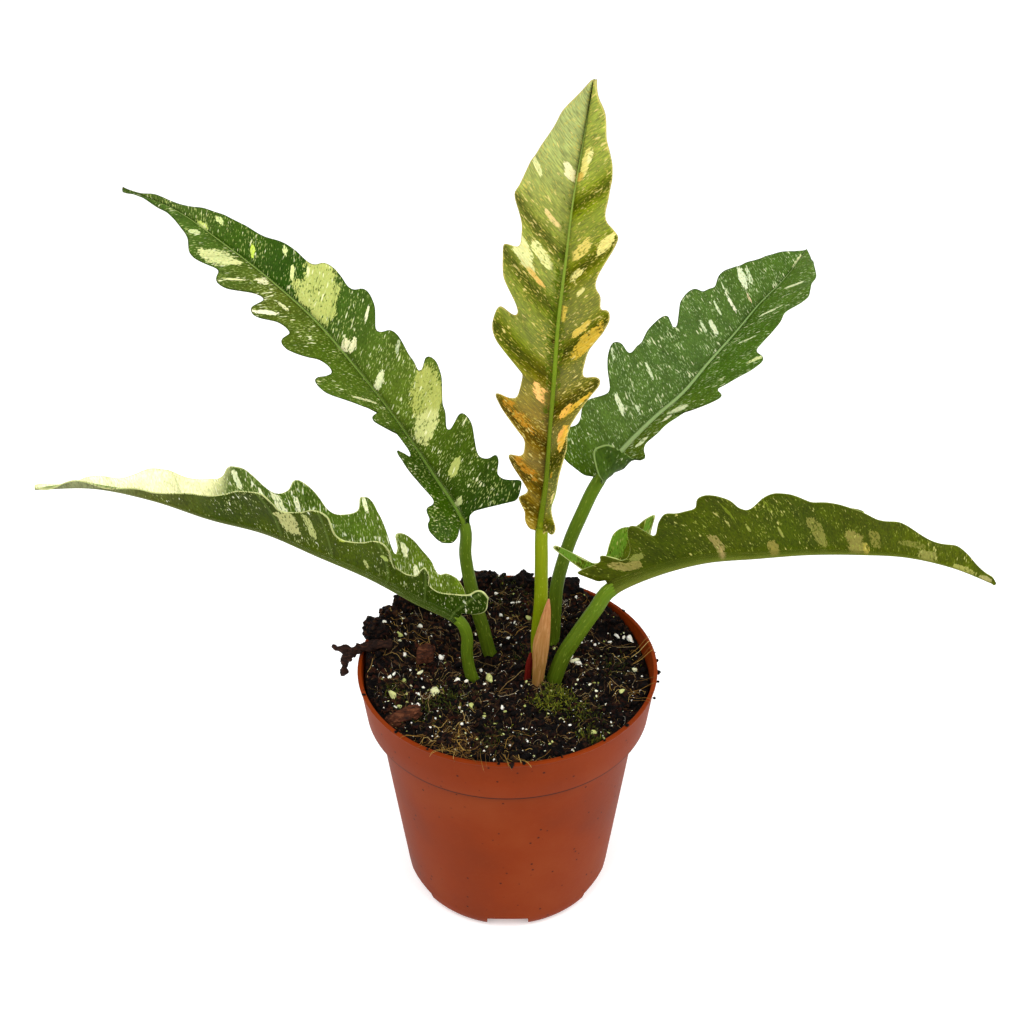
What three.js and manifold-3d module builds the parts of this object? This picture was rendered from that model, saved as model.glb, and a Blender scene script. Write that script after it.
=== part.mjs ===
// A young ring of fire philodendron with five leaves in a 12 cm plastic nursery pot.
// Millimetres, +Z up. The origin is the centre of the pot's underside, -Y is the front
// and +X is to the right of someone who faces it.

import * as THREE from 'three';
import { mergeVertices } from 'three/addons/utils/BufferGeometryUtils.js';
import Module from 'manifold-3d';

const wasm = await Module();
wasm.setup();

// Clearance between two pieces that touch on the real plant
const GAP = 0.3;
// Room that the soil leaves around each piece that stands in it
const ROOM = 0.4;

// Pot
const POT = {
  sides: 54,
  height: 108,
  rimRadius: 60,
  collarHeight: 20,
  collarFootRadius: 57.2,
  shoulderRadius: 52.8,
  shoulderRound: 1.2,
  rimRound: 0.5,
  foot: [[38.8, 0], [41, 1.6], [42.5, 4.2], [43.3, 8]],
  ringRadius: 35.4,
  ringTaper: 0.6,
  wall: 1.6,
  floor: 1.6,
  floorRadius: 38.2,
  recess: 2.6,
  padRadius: 12,
  notches: 6,
  notchWidth: 17,
  notchSlope: 42,
  drains: 8,
  drainRadius: 3.5,
  drainCircle: 24,
};

// Soil
const SOIL = {
  sides: 40,
  rings: 7,
  level: 103.5,
  edgeDrop: 2.5,
  middle: 0.4,
  clods: 18,
  clodSize: 5,
  clodReach: 50,
  clodSink: 0.1,
  perlite: 18,
  perliteSize: 2,
  perliteReach: 52,
  perliteSink: 0.3,
  seed: 12,
};

// Waves of the soil's surface: height and the length over which each repeats
const FURROWS = { height: 0.9, alongX: 4.1, alongY: 3.7 };
const RIPPLES = { height: 0.6, along: 2.3 };

// Heaps and hollows of the soil: centre x and y, height, spread
const HEAPS = [
  [-48, 18, 14, 17],
  [-30, 42, 8, 14],
  [-8, 54, 8, 13],
  [18, 50, 7, 14],
  [36, 36, 5, 13],
  [48, 10, -4, 15],
];

// Clods that hang over the rim and lie on the back heap: centre and half size
const HEAP_CLODS = [
  [[-54, 13, 115], 5.2],
  [[-49, 21, 116], 4.5],
  [[-42, 28, 117], 5],
  [[-34, 37, 114], 6],
  [[-13, 51, 111.5], 5],
  [[7, 52, 110.5], 5],
  [[26, 46, 110], 5.5],
];

// Buried stem that carries the stalks
const CROWN = {
  x: 4,
  y: 3,
  top: 90,
  foot: 64,
  radius: 16,
  footRadius: 8,
  shoulder: 8,
  sides: 16,
  roots: 6,
  rootHeight: 8,
  rootStart: 2,
  rootRadius: 2.2,
  rootTaper: 0.5,
  rootReach: 30,
  rootDrop: 30,
  rootSteps: 5,
  rootSides: 6,
};

// Blades: half thickness, least half width, and steps along each curve of the margin
const BLADE_HALF = 0.4;
const LEAST_WIDTH = 0.4;
const SPINE_STEPS = 24;
const RISE_STEPS = 3;
const TIP_STEPS = 3;
const TIP_SWELL = 0.03;

// Midrib: radius at the tip and how it thins. As shares of its radius, where the blade
// leaves it, how high it stands over the blade and how high the blade's root lies.
const RIB_TIP_RADIUS = 0.5;
const RIB_TAPER = 0.7;
const RIB_SIDE = 0.85;
const RIB_TOP = 0.55;
const RIB_SEAT = 0.45;
const MARGIN_OVER_RIB = 0.5;

// Side veins: bend from midrib to margin. Within BASE_RUN of the blade's start their
// roots crowd together, each CROWD mm of overlap closer by a factor of e.
const VEIN_BEND = 1.2;
const BASE_RUN = 6;
const CROWD = 9;
const VEIN_STEP = 0.06;
const BASE_STEP = 0.1;
const LEAST_STEP = 0.8;

// Stalks
const STALK_SIDES = 10;
const STALK_STEP = 6;
const STALK_CUT = CROWN.top + GAP;
const CUT_BLOCK = { across: 80, deep: 20 };

// Each leaf has one spine, from the buried end of the stalk to the tip of the blade. The
// blade starts at the spine point bladeFrom. face is the way the upper side looks at the
// base and at the tip. A half's fold is its lift out of the flat in degrees, as pairs of
// share of the blade's length and angle, and curl is the lift added for each 10 mm out.
// lobes lists, in millimetres, the notch before each lobe and the lobe's tip as distance
// along the midrib and distance out from it: [notch along, notch out, tip along, tip out].
const LEAVES = {
  upper_left: {
    spine: [
      [1, 7, 84], [-1, 8, 92], [-7, 10, 104], [-10, 11, 117], [-13, 13, 133], [-15, 14, 150],
      [-17, 14, 166], [-29, 20, 185], [-42, 26, 204], [-56, 32, 222], [-71, 40, 238],
      [-88, 47, 252], [-106, 56, 263], [-125, 65, 273], [-146, 74, 278],
    ],
    bladeFrom: 6,
    stalk: [3.4, 3.0],
    face: [[-0.25, -0.55, 0.8], [-0.1, -0.45, 0.9]],
    wave: [1.2, 19, 0.4],
    right: {
      fold: [[0, 15], [1, 15]],
      curl: [[0, 0], [1, 0]],
      slope: 0.6,
      swell: 0.1,
      lobes: [
        [0, 3.4, 5, 29], [9, 21, 15, 25], [20, 18, 36, 22], [33, 13, 60, 25], [56, 17, 73, 20],
        [77, 15, 92, 22], [96, 17, 106, 20], [109, 14, 121, 15],
        [127, 12, 149, 8], [152, 7, 166, 3],
      ],
    },
    left: {
      fold: [[0, 55], [0.1, 58], [0.2, 70], [0.32, 68], [0.5, 35], [1, 22]],
      curl: [[0, 0], [1, 0]],
      slope: 0.6,
      swell: 0.07,
      lobes: [
        [0, 3.4, 9, 23], [11, 17, 16, 18], [15, 11, 40, 18], [34, 9, 55, 18], [54, 10, 76, 25],
        [77, 12, 97, 20], [99, 12, 112, 20], [113, 10, 130, 18], [133, 12, 147, 15],
        [151, 9, 165, 3],
      ],
    },
  },
  lower_left: {
    spine: [
      [-5, 0, 84], [-8, -2, 92], [-14, -5, 104], [-16, -4, 115], [-16, -4, 125],
      [-20, -5, 134], [-35, -5, 143], [-52, -6, 155], [-71, -6, 165], [-90, -6, 175],
      [-110, -7, 182], [-130, -7, 190], [-151, -7, 195], [-172, -8, 195],
    ],
    bladeFrom: 5,
    stalk: [2.6, 2.3],
    face: [[0, 0.1, 1], [0, 0.1, 1]],
    wave: [1.2, 21, 1.5],
    right: {
      fold: [[0, 55], [1, 50]],
      curl: [[0, 0], [1, 0]],
      slope: 0.6,
      swell: 0.08,
      lobes: [
        [0, 3, 14, 14], [17, 12, 38, 20], [37, 11, 55, 28], [60, 17, 79, 24], [84, 15, 101, 21],
        [108, 13, 129, 11], [135, 7, 150, 3],
      ],
    },
    left: {
      fold: [[0, 62], [1, 62]],
      curl: [[0, 0], [1, 0]],
      slope: 0.6,
      swell: 0.08,
      lobes: [
        [0, 3, -6, 14], [-1, 19, 3, 22], [7, 13, 28, 20], [32, 11, 46, 24], [58, 13, 69, 26],
        [84, 16, 94, 22], [108, 12, 124, 7], [131, 5, 150, 3],
      ],
    },
  },
  middle: {
    spine: [
      [5, -2, 84], [8, -2, 92], [12, -2, 106], [12, -2, 123], [13, -2, 140], [13, -2, 157],
      [13, -2, 175], [15, -2, 196], [16, -2, 217], [17, -1, 238], [18, -1, 259], [20, 0, 280],
      [22, 1, 301], [25, 2, 322], [28, 3, 342],
    ],
    bladeFrom: 6,
    stalk: [2.9, 2.5],
    face: [[-0.15, -1, 0.1], [-0.3, -1, 0.25]],
    wave: [1.6, 18, 0.8],
    right: {
      fold: [[0, 60], [0.25, 58], [0.4, 30], [1, 22]],
      curl: [[0, 0], [1, 0]],
      slope: 0.6,
      swell: -0.04,
      lobes: [
        [0, 3, 5, 9], [10, 6, 30, 10], [34, 9, 46, 13], [49, 11, 71, 19], [67, 12, 94, 20],
        [94, 14, 123, 19], [127, 12, 143, 14], [148, 10, 160, 5],
      ],
    },
    left: {
      fold: [[0, 22], [1, 22]],
      curl: [[0, 0], [1, 0]],
      slope: 0.6,
      swell: -0.04,
      lobes: [
        [0, 3, 4, 8], [8, 7, 16, 10], [18, 6, 31, 15], [34, 8, 57, 21], [57, 12, 89, 22],
        [87, 16, 113, 22], [115, 15, 131, 19], [134, 17, 150, 11],
      ],
    },
  },
  upper_right: {
    spine: [
      [9, 8, 84], [12, 11, 92], [18, 17, 104], [19, 17, 119], [20, 18, 134], [24, 22, 149],
      [29, 26, 161], [36, 33, 173], [47, 43, 182], [59, 54, 189], [71, 64, 195], [82, 75, 203],
      [93, 85, 211], [104, 95, 220], [116, 105, 226], [126, 115, 227], [125, 126, 213],
    ],
    bladeFrom: 7,
    stalk: [2.9, 2.6],
    face: [[-0.1, -0.5, 0.85], [-0.1, -0.5, 0.85]],
    wave: [1.0, 20, 0],
    right: {
      fold: [[0, 50], [0.12, 55], [0.25, 40], [0.35, 25], [1, 20]],
      curl: [[0, 28], [0.15, 25], [0.3, 0], [1, 0]],
      slope: 0.6,
      swell: 0.07,
      lobes: [
        [0, 3.2, 6, 22], [22, 9, 56, 19], [59, 13, 80, 22], [83, 15, 115, 15], [121, 11, 140, 9],
      ],
    },
    left: {
      fold: [[0, 20], [1, 20]],
      curl: [[0, 0], [1, 0]],
      slope: 0.6,
      swell: 0.09,
      lobes: [
        [0, 3.2, 6, 22], [11, 20, 24, 27], [29, 19, 46, 33], [47, 26, 72, 28], [71, 20, 88, 27],
        [90, 20, 105, 20], [108, 16, 124, 12],
      ],
    },
  },
  lower_right: {
    spine: [
      [13, -4, 84], [15, -5, 92], [18.5, -6, 104], [22, -6, 116], [28, -6, 128], [34, -6, 139],
      [40, -5, 148], [56, -3, 155], [75, -2, 160], [95, -1, 161], [115, 1, 161], [135, 2, 160],
      [154, 4, 157], [173, 5, 151], [191, 6, 142],
    ],
    bladeFrom: 6,
    stalk: [3.3, 2.9],
    face: [[0, 0.64, 0.77], [0, 0.64, 0.77]],
    wave: [1.0, 23, 0],
    right: {
      fold: [[0, 45], [1, 45]],
      curl: [[0, 0], [1, 0]],
      slope: 0.2,
      swell: 0.08,
      lobes: [
        [0, 3.5, -5, 14], [2, 12, 6, 18], [10, 11, 17, 23], [24, 14, 29, 26], [40, 21, 44, 29],
        [57, 23, 70, 28], [96, 15, 112, 10], [128, 7, 142, 3],
      ],
    },
    left: {
      fold: [[0, 80], [0.15, 75], [0.45, 45], [1, 40]],
      curl: [[0, 8], [0.3, 0], [1, 0]],
      slope: 0.4,
      swell: 0.08,
      lobes: [
        [0, 3.5, -12, 24], [4, 12, 13, 21], [16, 16, 26, 22], [30, 15, 50, 24], [52, 16, 76, 26],
        [80, 18, 106, 27], [108, 14, 124, 13], [130, 8, 142, 5],
      ],
    },
  },
};

// Sheaths beside the middle stalk, as stations of centre, half width and half thickness
const SHEATHS = {
  dry_sheath: [
    [[10.6, -8.6, 94], 2.3, 1.3],
    [[12.6, -9.2, 103], 2.6, 1.5],
    [[14.4, -9.2, 113], 2.9, 1.5],
    [[15.3, -8.8, 124], 2.7, 1.3],
    [[15.1, -8.0, 134], 2.1, 1.1],
    [[14.6, -7.4, 142], 0.8, 0.6],
  ],
  red_sheath: [
    [[8.4, -6.2, 94], 1.2, 1.0],
    [[8.8, -6.4, 104], 1.3, 1.0],
    [[9.4, -6.4, 112], 0.9, 0.8],
    [[9.9, -6.2, 117], 0.5, 0.5],
  ],
};
const SHEATH_SIDES = 8;

// Bark chips: centre, half sizes, turn about Z in degrees, seed
const CHIPS = {
  bark_chip_1: [[-40, -29, 104.6], [8, 4.5, 2.4], 25, 3],
  bark_chip_2: [[-33, 5, 108.5], [3.2, 6.5, 2.6], -12, 7],
  bark_chip_3: [[33, 34, 105.5], [7, 4, 2.4], 40, 11],
};

const POCKET_SHARE = 1.5;

// Lumps: share of the full size that the deepest dent leaves, and depth of the dents
const LUMP = { least: 0.8, dents: 0.4, flat: 0.7 };

// Scrap of root over the left of the rim: two arms, each with its points and end radii,
// and how much its thickness varies
const SCRAP = {
  sides: 7,
  steps: 6,
  knots: 0.12,
  knotTurn: 5,
  arms: [
    {
      points: [[-46, 6, 113.5], [-54, 5, 112.5], [-61, 4, 111.4], [-67, 5, 110.6], [-71, 7, 110.8]],
      radii: [2.4, 1.2],
    },
    {
      points: [[-59, 4, 111.7], [-63.5, 2.5, 109.5], [-65.5, 1.5, 105.5], [-66, 1, 100.5]],
      radii: [2.2, 1.7],
    },
  ],
};

// Repeatable random numbers from 0 to 1
function dice(seed) {
  let state = seed;
  return () => {
    state = (state * 16807) % 2147483647;
    return state / 2147483647;
  };
}

// Value at x of a table of [x, value] pairs
function table(pairs, x) {
  const next = pairs.findIndex((pair) => pair[0] >= x);
  if (next < 0) return pairs[pairs.length - 1][1];
  if (next === 0) return pairs[0][1];
  const [x0, y0] = pairs[next - 1];
  const [x1, y1] = pairs[next];
  return THREE.MathUtils.mapLinear(x, x0, x1, y0, y1);
}

const vector = (point) => new THREE.Vector3(...point);

// Boolean operations
function toSolid(geometry) {
  const bare = geometry.clone();
  bare.deleteAttribute('normal');
  bare.deleteAttribute('uv');
  const merged = mergeVertices(bare, 1e-4);
  return new wasm.Manifold(new wasm.Mesh({
    numProp: 3,
    vertProperties: new Float32Array(merged.attributes.position.array),
    triVerts: new Uint32Array(merged.index.array),
  }));
}

function toGeometry(solid) {
  const mesh = solid.getMesh();
  const geometry = new THREE.BufferGeometry();
  geometry.setAttribute('position', new THREE.BufferAttribute(mesh.vertProperties, 3));
  geometry.setIndex(new THREE.BufferAttribute(mesh.triVerts, 1));
  return geometry;
}

// Closed skin through rings of equal length, each a list of points, with fan caps
function skin(rings) {
  const sides = rings[0].length;
  const points = rings.flat();
  const faces = [];
  for (let i = 0; i < rings.length - 1; i += 1) {
    for (let j = 0; j < sides; j += 1) {
      const a = i * sides + j;
      const b = i * sides + (j + 1) % sides;
      faces.push([a, b, b + sides], [a, b + sides, a + sides]);
    }
  }
  const last = (rings.length - 1) * sides;
  for (let j = 1; j < sides - 1; j += 1) {
    faces.push([0, j + 1, j], [last, last + j, last + j + 1]);
  }
  return fromFaces(points, faces);
}

function fromFaces(points, faces) {
  const geometry = new THREE.BufferGeometry();
  geometry.setAttribute(
    'position',
    new THREE.Float32BufferAttribute(points.flatMap((p) => [p.x, p.y, p.z]), 3),
  );
  geometry.setIndex(faces.flat());
  return geometry;
}

// Spine of a leaf: places by length along it, with a tangent and an upper side at each
class Spine {
  constructor(leaf) {
    const curve = new THREE.CatmullRomCurve3(leaf.spine.map(vector), false, 'catmullrom', 0.5);
    const steps = (leaf.spine.length - 1) * SPINE_STEPS;
    this.points = curve.getPoints(steps);
    this.along = [0];
    for (let i = 1; i <= steps; i += 1) {
      this.along.push(this.along[i - 1] + this.points[i].distanceTo(this.points[i - 1]));
    }
    this.start = this.along[leaf.bladeFrom * SPINE_STEPS];
    this.length = this.along[steps] - this.start;
    this.tangents = this.points.map((point, i) => {
      const before = this.points[Math.max(i - 1, 0)];
      const after = this.points[Math.min(i + 1, steps)];
      return after.clone().sub(before).normalize();
    });
    this.normals = this.upperSides(leaf, steps);
  }

  upperSides(leaf, steps) {
    const [base, tip] = leaf.face.map(vector);
    const first = leaf.bladeFrom * SPINE_STEPS;
    const normals = [];
    for (let i = first; i <= steps; i += 1) {
      const share = (this.along[i] - this.start) / this.length;
      normals[i] = square(base.clone().lerp(tip, share), this.tangents[i]);
    }
    for (let i = first - 1; i >= 0; i -= 1) {
      normals[i] = square(normals[i + 1].clone(), this.tangents[i]);
    }
    return normals;
  }

  // Place, tangent, upper side and right hand side at a length measured from the blade's start
  at(length) {
    const target = length + this.start;
    let i = this.along.findIndex((value) => value > target);
    if (i < 0) i = this.along.length - 1;
    i = Math.max(i, 1);
    const share = (target - this.along[i - 1]) / (this.along[i] - this.along[i - 1]);
    const mix = (list) => list[i - 1].clone().lerp(list[i], THREE.MathUtils.clamp(share, 0, 1));
    const tangent = mix(this.tangents).normalize();
    const normal = square(mix(this.normals), tangent);
    const right = tangent.clone().cross(normal);
    return { place: mix(this.points), tangent, normal, right };
  }
}

// Unit vector of v turned square to a unit axis
function square(v, axis) {
  return v.addScaledVector(axis, -v.dot(axis)).normalize();
}

// Margin of one half of a blade: points [along, out] from its base to its tip
function margin(half, length, outAtBase) {
  const lobes = half.lobes;
  const points = [[0, outAtBase]];
  lobes.forEach(([notchAlong, notchOut, tipAlong, tipOut], i) => {
    const notch = i === 0 ? points[0] : [notchAlong, notchOut];
    if (i > 0) points.push(notch);
    arc(points, notch, [tipAlong, tipOut], RISE_STEPS, half.swell);
  });
  const lastTip = points[points.length - 1];
  arc(points, lastTip, [length, RIB_TIP_RADIUS + MARGIN_OVER_RIB], TIP_STEPS, TIP_SWELL);
  return points;
}

// Adds a curve to points, from one point to another, that swells by a share of its length
function arc(points, from, to, steps, swell) {
  const along = to[0] - from[0];
  const out = to[1] - from[1];
  for (let i = 1; i <= steps; i += 1) {
    const t = i / steps;
    const bulge = 4 * t * (1 - t) * swell;
    points.push([from[0] + along * t - out * bulge, from[1] + out * t + along * bulge]);
  }
}

// Where the side vein that ends at each margin point leaves the midrib
function veinStarts(points, slope) {
  const starts = [0];
  for (let i = 1; i < points.length; i += 1) {
    const [along, out] = points[i];
    const free = along - slope * out;
    const start = free > BASE_RUN ? free : BASE_RUN * Math.exp((free - BASE_RUN) / CROWD);
    starts.push(Math.max(start, starts[i - 1] + VEIN_STEP));
  }
  starts[starts.length - 1] = points[points.length - 1][0];
  return starts;
}

// One blade, with its midrib as a keel on the underside
function blade(leaf) {
  const spine = new Spine(leaf);
  const ribBase = leaf.stalk[1];
  const thinned = (a) => Math.pow(a / spine.length, RIB_TAPER);
  const halves = [[leaf.left, -1], [leaf.right, 1]].map(([half, side]) => {
    const points = margin(half, spine.length, ribBase + MARGIN_OVER_RIB);
    return { half, side, points, starts: veinStarts(points, half.slope) };
  });
  const columns = mergedStarts(halves, spine.length);
  const top = [];
  const bottom = [];
  columns.forEach((a) => {
    const { place, normal } = spine.at(a);
    const radius = THREE.MathUtils.lerp(ribBase, RIB_TIP_RADIUS, thinned(a));
    const rows = halves.map(({ half, side, points, starts }) => {
      const edge = onMargin(points, starts, a);
      return [1, 0.5, 0].map((q) => halfPoint(spine, leaf, half, side, a, edge, q, radius));
    });
    const keel = {
      top: place.clone().addScaledVector(normal, RIB_TOP * radius),
      bottom: place.clone().addScaledVector(normal, -radius),
    };
    const line = [...rows[0], keel, ...rows[1].reverse()];
    top.push(line.map((p) => p.top));
    bottom.push(line.map((p) => p.bottom));
  });
  return skin(top.map((line, i) => [...line, ...bottom[i].reverse()]));
}

// Stations of both halves along the midrib, thinned where two nearly coincide
function mergedStarts(halves, length) {
  const all = halves.flatMap((side) => side.starts).sort((a, b) => a - b);
  const kept = [0];
  all.forEach((a) => {
    const least = a < BASE_RUN ? BASE_STEP : LEAST_STEP;
    if (a - kept[kept.length - 1] > least) kept.push(a);
  });
  kept[kept.length - 1] = length;
  return kept;
}

// Margin point that belongs to station a
function onMargin(points, starts, a) {
  const pairs = (axis) => starts.map((start, i) => [start, points[i][axis]]);
  return [table(pairs(0), a), table(pairs(1), a)];
}

// Upper and lower surface point at share q of the way from the midrib to the margin
function halfPoint(spine, leaf, half, side, a, edge, q, radius) {
  const ribEdge = RIB_SIDE * radius;
  const out = ribEdge + Math.max(edge[1] - ribEdge, LEAST_WIDTH) * q;
  const along = a + (edge[0] - a) * Math.pow(q, VEIN_BEND);
  const { place, tangent, normal, right } = spine.at(Math.max(along, 0));
  place.addScaledVector(tangent, Math.min(along, 0));
  const share = THREE.MathUtils.clamp(along / spine.length, 0, 1);
  const lift = table(half.fold, share) + table(half.curl, share) * out / 10;
  const angle = THREE.MathUtils.degToRad(lift);
  const [height, pitch, phase] = leaf.wave;
  const ripple = height * q * q * Math.sin(2 * Math.PI * a / pitch + phase + side);
  place.addScaledVector(right, side * out * Math.cos(angle));
  place.addScaledVector(normal, RIB_SEAT * radius + out * Math.sin(angle) + ripple);
  const up = normal.multiplyScalar(Math.cos(angle)).addScaledVector(right, -side * Math.sin(angle));
  return {
    top: place.clone().addScaledVector(up, BLADE_HALF),
    bottom: place.clone().addScaledVector(up, -BLADE_HALF),
  };
}

// Stalk of a leaf, or with grow the room that it needs in the soil
function stalk(leaf, grow = 0) {
  const spine = new Spine(leaf);
  const [thick, thin] = leaf.stalk;
  const rings = [];
  const steps = Math.round(spine.start / STALK_STEP);
  for (let i = 0; i <= steps; i += 1) {
    const share = i / steps;
    const length = (spine.start - GAP) * share - spine.start;
    const { place, normal, right } = spine.at(length);
    const radius = THREE.MathUtils.lerp(thick, thin, share) + grow;
    rings.push(ring(place, normal, right, radius, radius, STALK_SIDES));
  }
  return toSolid(skin(rings));
}

// Ring of points about a centre, from the first axis towards the second, with a half size
// on each. The two axes are a right handed pair about the way that the rings follow.
function ring(centre, first, second, firstHalf, secondHalf, sides) {
  return Array.from({ length: sides }, (_, j) => {
    const turned = 2 * Math.PI * j / sides;
    return centre.clone()
      .addScaledVector(first, firstHalf * Math.cos(turned))
      .addScaledVector(second, secondHalf * Math.sin(turned));
  });
}

// Stalk as it stands on the crown, its foot cut level
function standingStalk(leaf) {
  const { across, deep } = CUT_BLOCK;
  const below = new THREE.BoxGeometry(across, across, deep);
  below.translate(0, 0, STALK_CUT - deep / 2);
  return toGeometry(stalk(leaf).subtract(toSolid(below)));
}

// Pot: a turned wall with a foot ring, then its notches and drain holes are cut
function pot() {
  const { height, rimRadius, rimRound, collarHeight, collarFootRadius } = POT;
  const { shoulderRadius, shoulderRound, foot, ringRadius, ringTaper, recess, padRadius } = POT;
  const collarZ = height - collarHeight;
  const profile = [
    [0, 0], [padRadius, 0], [padRadius + ringTaper, recess], [ringRadius - ringTaper, recess],
    [ringRadius, 0], ...foot, [shoulderRadius, collarZ - shoulderRound],
    [shoulderRadius + shoulderRound, collarZ], [collarFootRadius, collarZ],
    [rimRadius - rimRound, height - 2 * rimRound], [rimRadius, height - rimRound],
    [rimRadius - rimRound, height], ...potInside().reverse(),
  ];
  let solid = toSolid(turn(profile, POT.sides));
  for (let i = 0; i < POT.notches; i += 1) {
    solid = solid.subtract(notchCutter(-Math.PI / 2 + 2 * Math.PI * i / POT.notches));
  }
  for (let i = 0; i < POT.drains; i += 1) {
    solid = solid.subtract(drainCutter(2 * Math.PI * (i + 0.5) / POT.drains));
  }
  return toGeometry(solid);
}

// Block that cuts one notch: its upper face rises outwards from the inside of the foot ring
function notchCutter(angle) {
  const long = 24;
  const thick = 10;
  const back = 4;
  const block = new THREE.BoxGeometry(long, POT.notchWidth, thick);
  block.translate(long / 2 - back, 0, -thick / 2);
  block.rotateY(-THREE.MathUtils.degToRad(POT.notchSlope));
  return toSolid(block.translate(POT.ringRadius, 0, 0).rotateZ(angle));
}

// Pin that cuts one drain hole through the floor
function drainCutter(angle) {
  const { drainRadius, drainCircle, recess, floor } = POT;
  const pin = new THREE.CylinderGeometry(drainRadius, drainRadius, 4 * floor, 12);
  pin.rotateX(Math.PI / 2).translate(drainCircle, 0, recess + floor / 2);
  return toSolid(pin.rotateZ(angle));
}

// Inner profile of the pot, from the middle of its floor to its rim
function potInside() {
  const { height, rimRadius, collarHeight, collarFootRadius, shoulderRadius } = POT;
  const { wall, floor, floorRadius, recess, foot } = POT;
  const collarZ = height - collarHeight;
  const [footRadius, footTop] = foot[foot.length - 1];
  return [
    [0, recess + floor], [floorRadius, recess + floor], [footRadius - wall, footTop],
    [shoulderRadius - wall, collarZ - wall], [collarFootRadius - wall, collarZ + wall],
    [rimRadius - wall, height],
  ];
}

// Solid turned about Z from a profile of [radius, z] that runs counter clockwise
function turn(profile, sides) {
  const outline = profile.map(([radius, z]) => new THREE.Vector2(radius, z));
  const geometry = new THREE.LatheGeometry(outline, sides);
  return geometry.rotateX(Math.PI / 2);
}

// Height of the soil before its clods are added
function soilTop(x, y) {
  const heap = HEAPS.reduce((sum, [hx, hy, height, spread]) => {
    const far = Math.hypot(x - hx, y - hy) / spread;
    return sum + height * Math.exp(-far * far);
  }, 0);
  const furrows = FURROWS.height * Math.sin(x / FURROWS.alongX + 1) * Math.cos(y / FURROWS.alongY);
  const ripples = RIPPLES.height * Math.sin((x + y) / RIPPLES.along);
  return SOIL.level + heap + furrows + ripples;
}

// Root ball without its clods: rings up the pot's wall, then rings over the top
function soilBody() {
  const wallLine = potInside().slice(1).map(([radius, z]) => [radius - GAP, z]);
  wallLine[0][1] += GAP;
  const rim = wallLine.pop();
  const collar = wallLine[wallLine.length - 1];
  const edgeRadius = (z) => THREE.MathUtils.mapLinear(z, collar[1], rim[1], collar[0], rim[0]);
  const edgeZ = SOIL.level - SOIL.edgeDrop;
  wallLine.push([edgeRadius(edgeZ), edgeZ]);
  const rings = wallLine.map(([radius, z]) => circle(radius, () => z));
  const topRadius = edgeRadius(SOIL.level) - GAP;
  for (let i = SOIL.rings; i >= 1; i -= 1) {
    const least = edgeZ + GAP;
    rings.push(circle(topRadius * i / SOIL.rings, (x, y) => Math.max(soilTop(x, y), least)));
  }
  rings.push(circle(SOIL.middle, soilTop));
  return skin(rings);
}

// Ring of points about Z, its height given by a function of x and y
function circle(radius, height) {
  return Array.from({ length: SOIL.sides }, (_, j) => {
    const turned = 2 * Math.PI * j / SOIL.sides;
    const x = radius * Math.cos(turned);
    const y = radius * Math.sin(turned);
    return new THREE.Vector3(x, y, height(x, y));
  });
}

// Rough lump: an icosahedron with seeded dents
function lump(halfSizes, random) {
  const ball = new THREE.IcosahedronGeometry(1, 0);
  ball.deleteAttribute('normal');
  ball.deleteAttribute('uv');
  const geometry = mergeVertices(ball, 1e-4);
  const position = geometry.attributes.position;
  for (let i = 0; i < position.count; i += 1) {
    const swell = LUMP.least + LUMP.dents * random();
    const point = [position.getX(i), position.getY(i), position.getZ(i)];
    position.setXYZ(i, ...point.map((value, axis) => value * halfSizes[axis] * swell));
  }
  return geometry;
}

// Clods and perlite grains, sunk in the top of the soil
function crumbs() {
  const random = dice(SOIL.seed);
  const solids = [];
  const add = (half, x, y, z) => {
    const halfSizes = [half, half * (1 - 0.3 * random()), half * LUMP.flat];
    const piece = lump(halfSizes, random).rotateZ(Math.PI * random());
    solids.push(toSolid(piece.translate(x, y, z)));
  };
  const scatter = (count, size, reach, sink) => {
    for (let i = 0; i < count; i += 1) {
      const radius = reach * Math.sqrt(random());
      const angle = 2 * Math.PI * random();
      const x = radius * Math.cos(angle);
      const y = radius * Math.sin(angle);
      const half = size * (0.6 + 0.6 * random());
      add(half, x, y, soilTop(x, y) + sink * half);
    }
  };
  scatter(SOIL.clods, SOIL.clodSize, SOIL.clodReach, SOIL.clodSink);
  scatter(SOIL.perlite, SOIL.perliteSize, SOIL.perliteReach, SOIL.perliteSink);
  HEAP_CLODS.forEach(([centre, half]) => add(half, ...centre));
  return solids;
}

// Soil with its crumbs and with room for all that stands in it
function soil(rooms) {
  let solid = toSolid(soilBody());
  crumbs().forEach((lumpSolid) => {
    solid = solid.add(lumpSolid);
  });
  rooms.forEach((room) => {
    solid = solid.subtract(room);
  });
  return toGeometry(largest(solid));
}

// Largest separate piece of a solid
function largest(solid) {
  return solid.decompose().reduce((a, b) => (b.volume() > a.volume() ? b : a));
}

// Buried stem with its roots, or with grow the room that it needs
function crown(grow = 0) {
  const { x, y, top, foot, radius, footRadius, shoulder, sides, roots } = CROWN;
  const profile = [
    [0, foot - grow], [footRadius + grow, foot - grow], [radius + grow, top - shoulder],
    [radius + grow, top + grow], [0, top + grow],
  ];
  let solid = toSolid(turn(profile, sides).translate(x, y, 0));
  for (let i = 0; i < roots; i += 1) {
    solid = solid.add(root(2 * Math.PI * i / roots, grow));
  }
  return solid;
}

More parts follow.
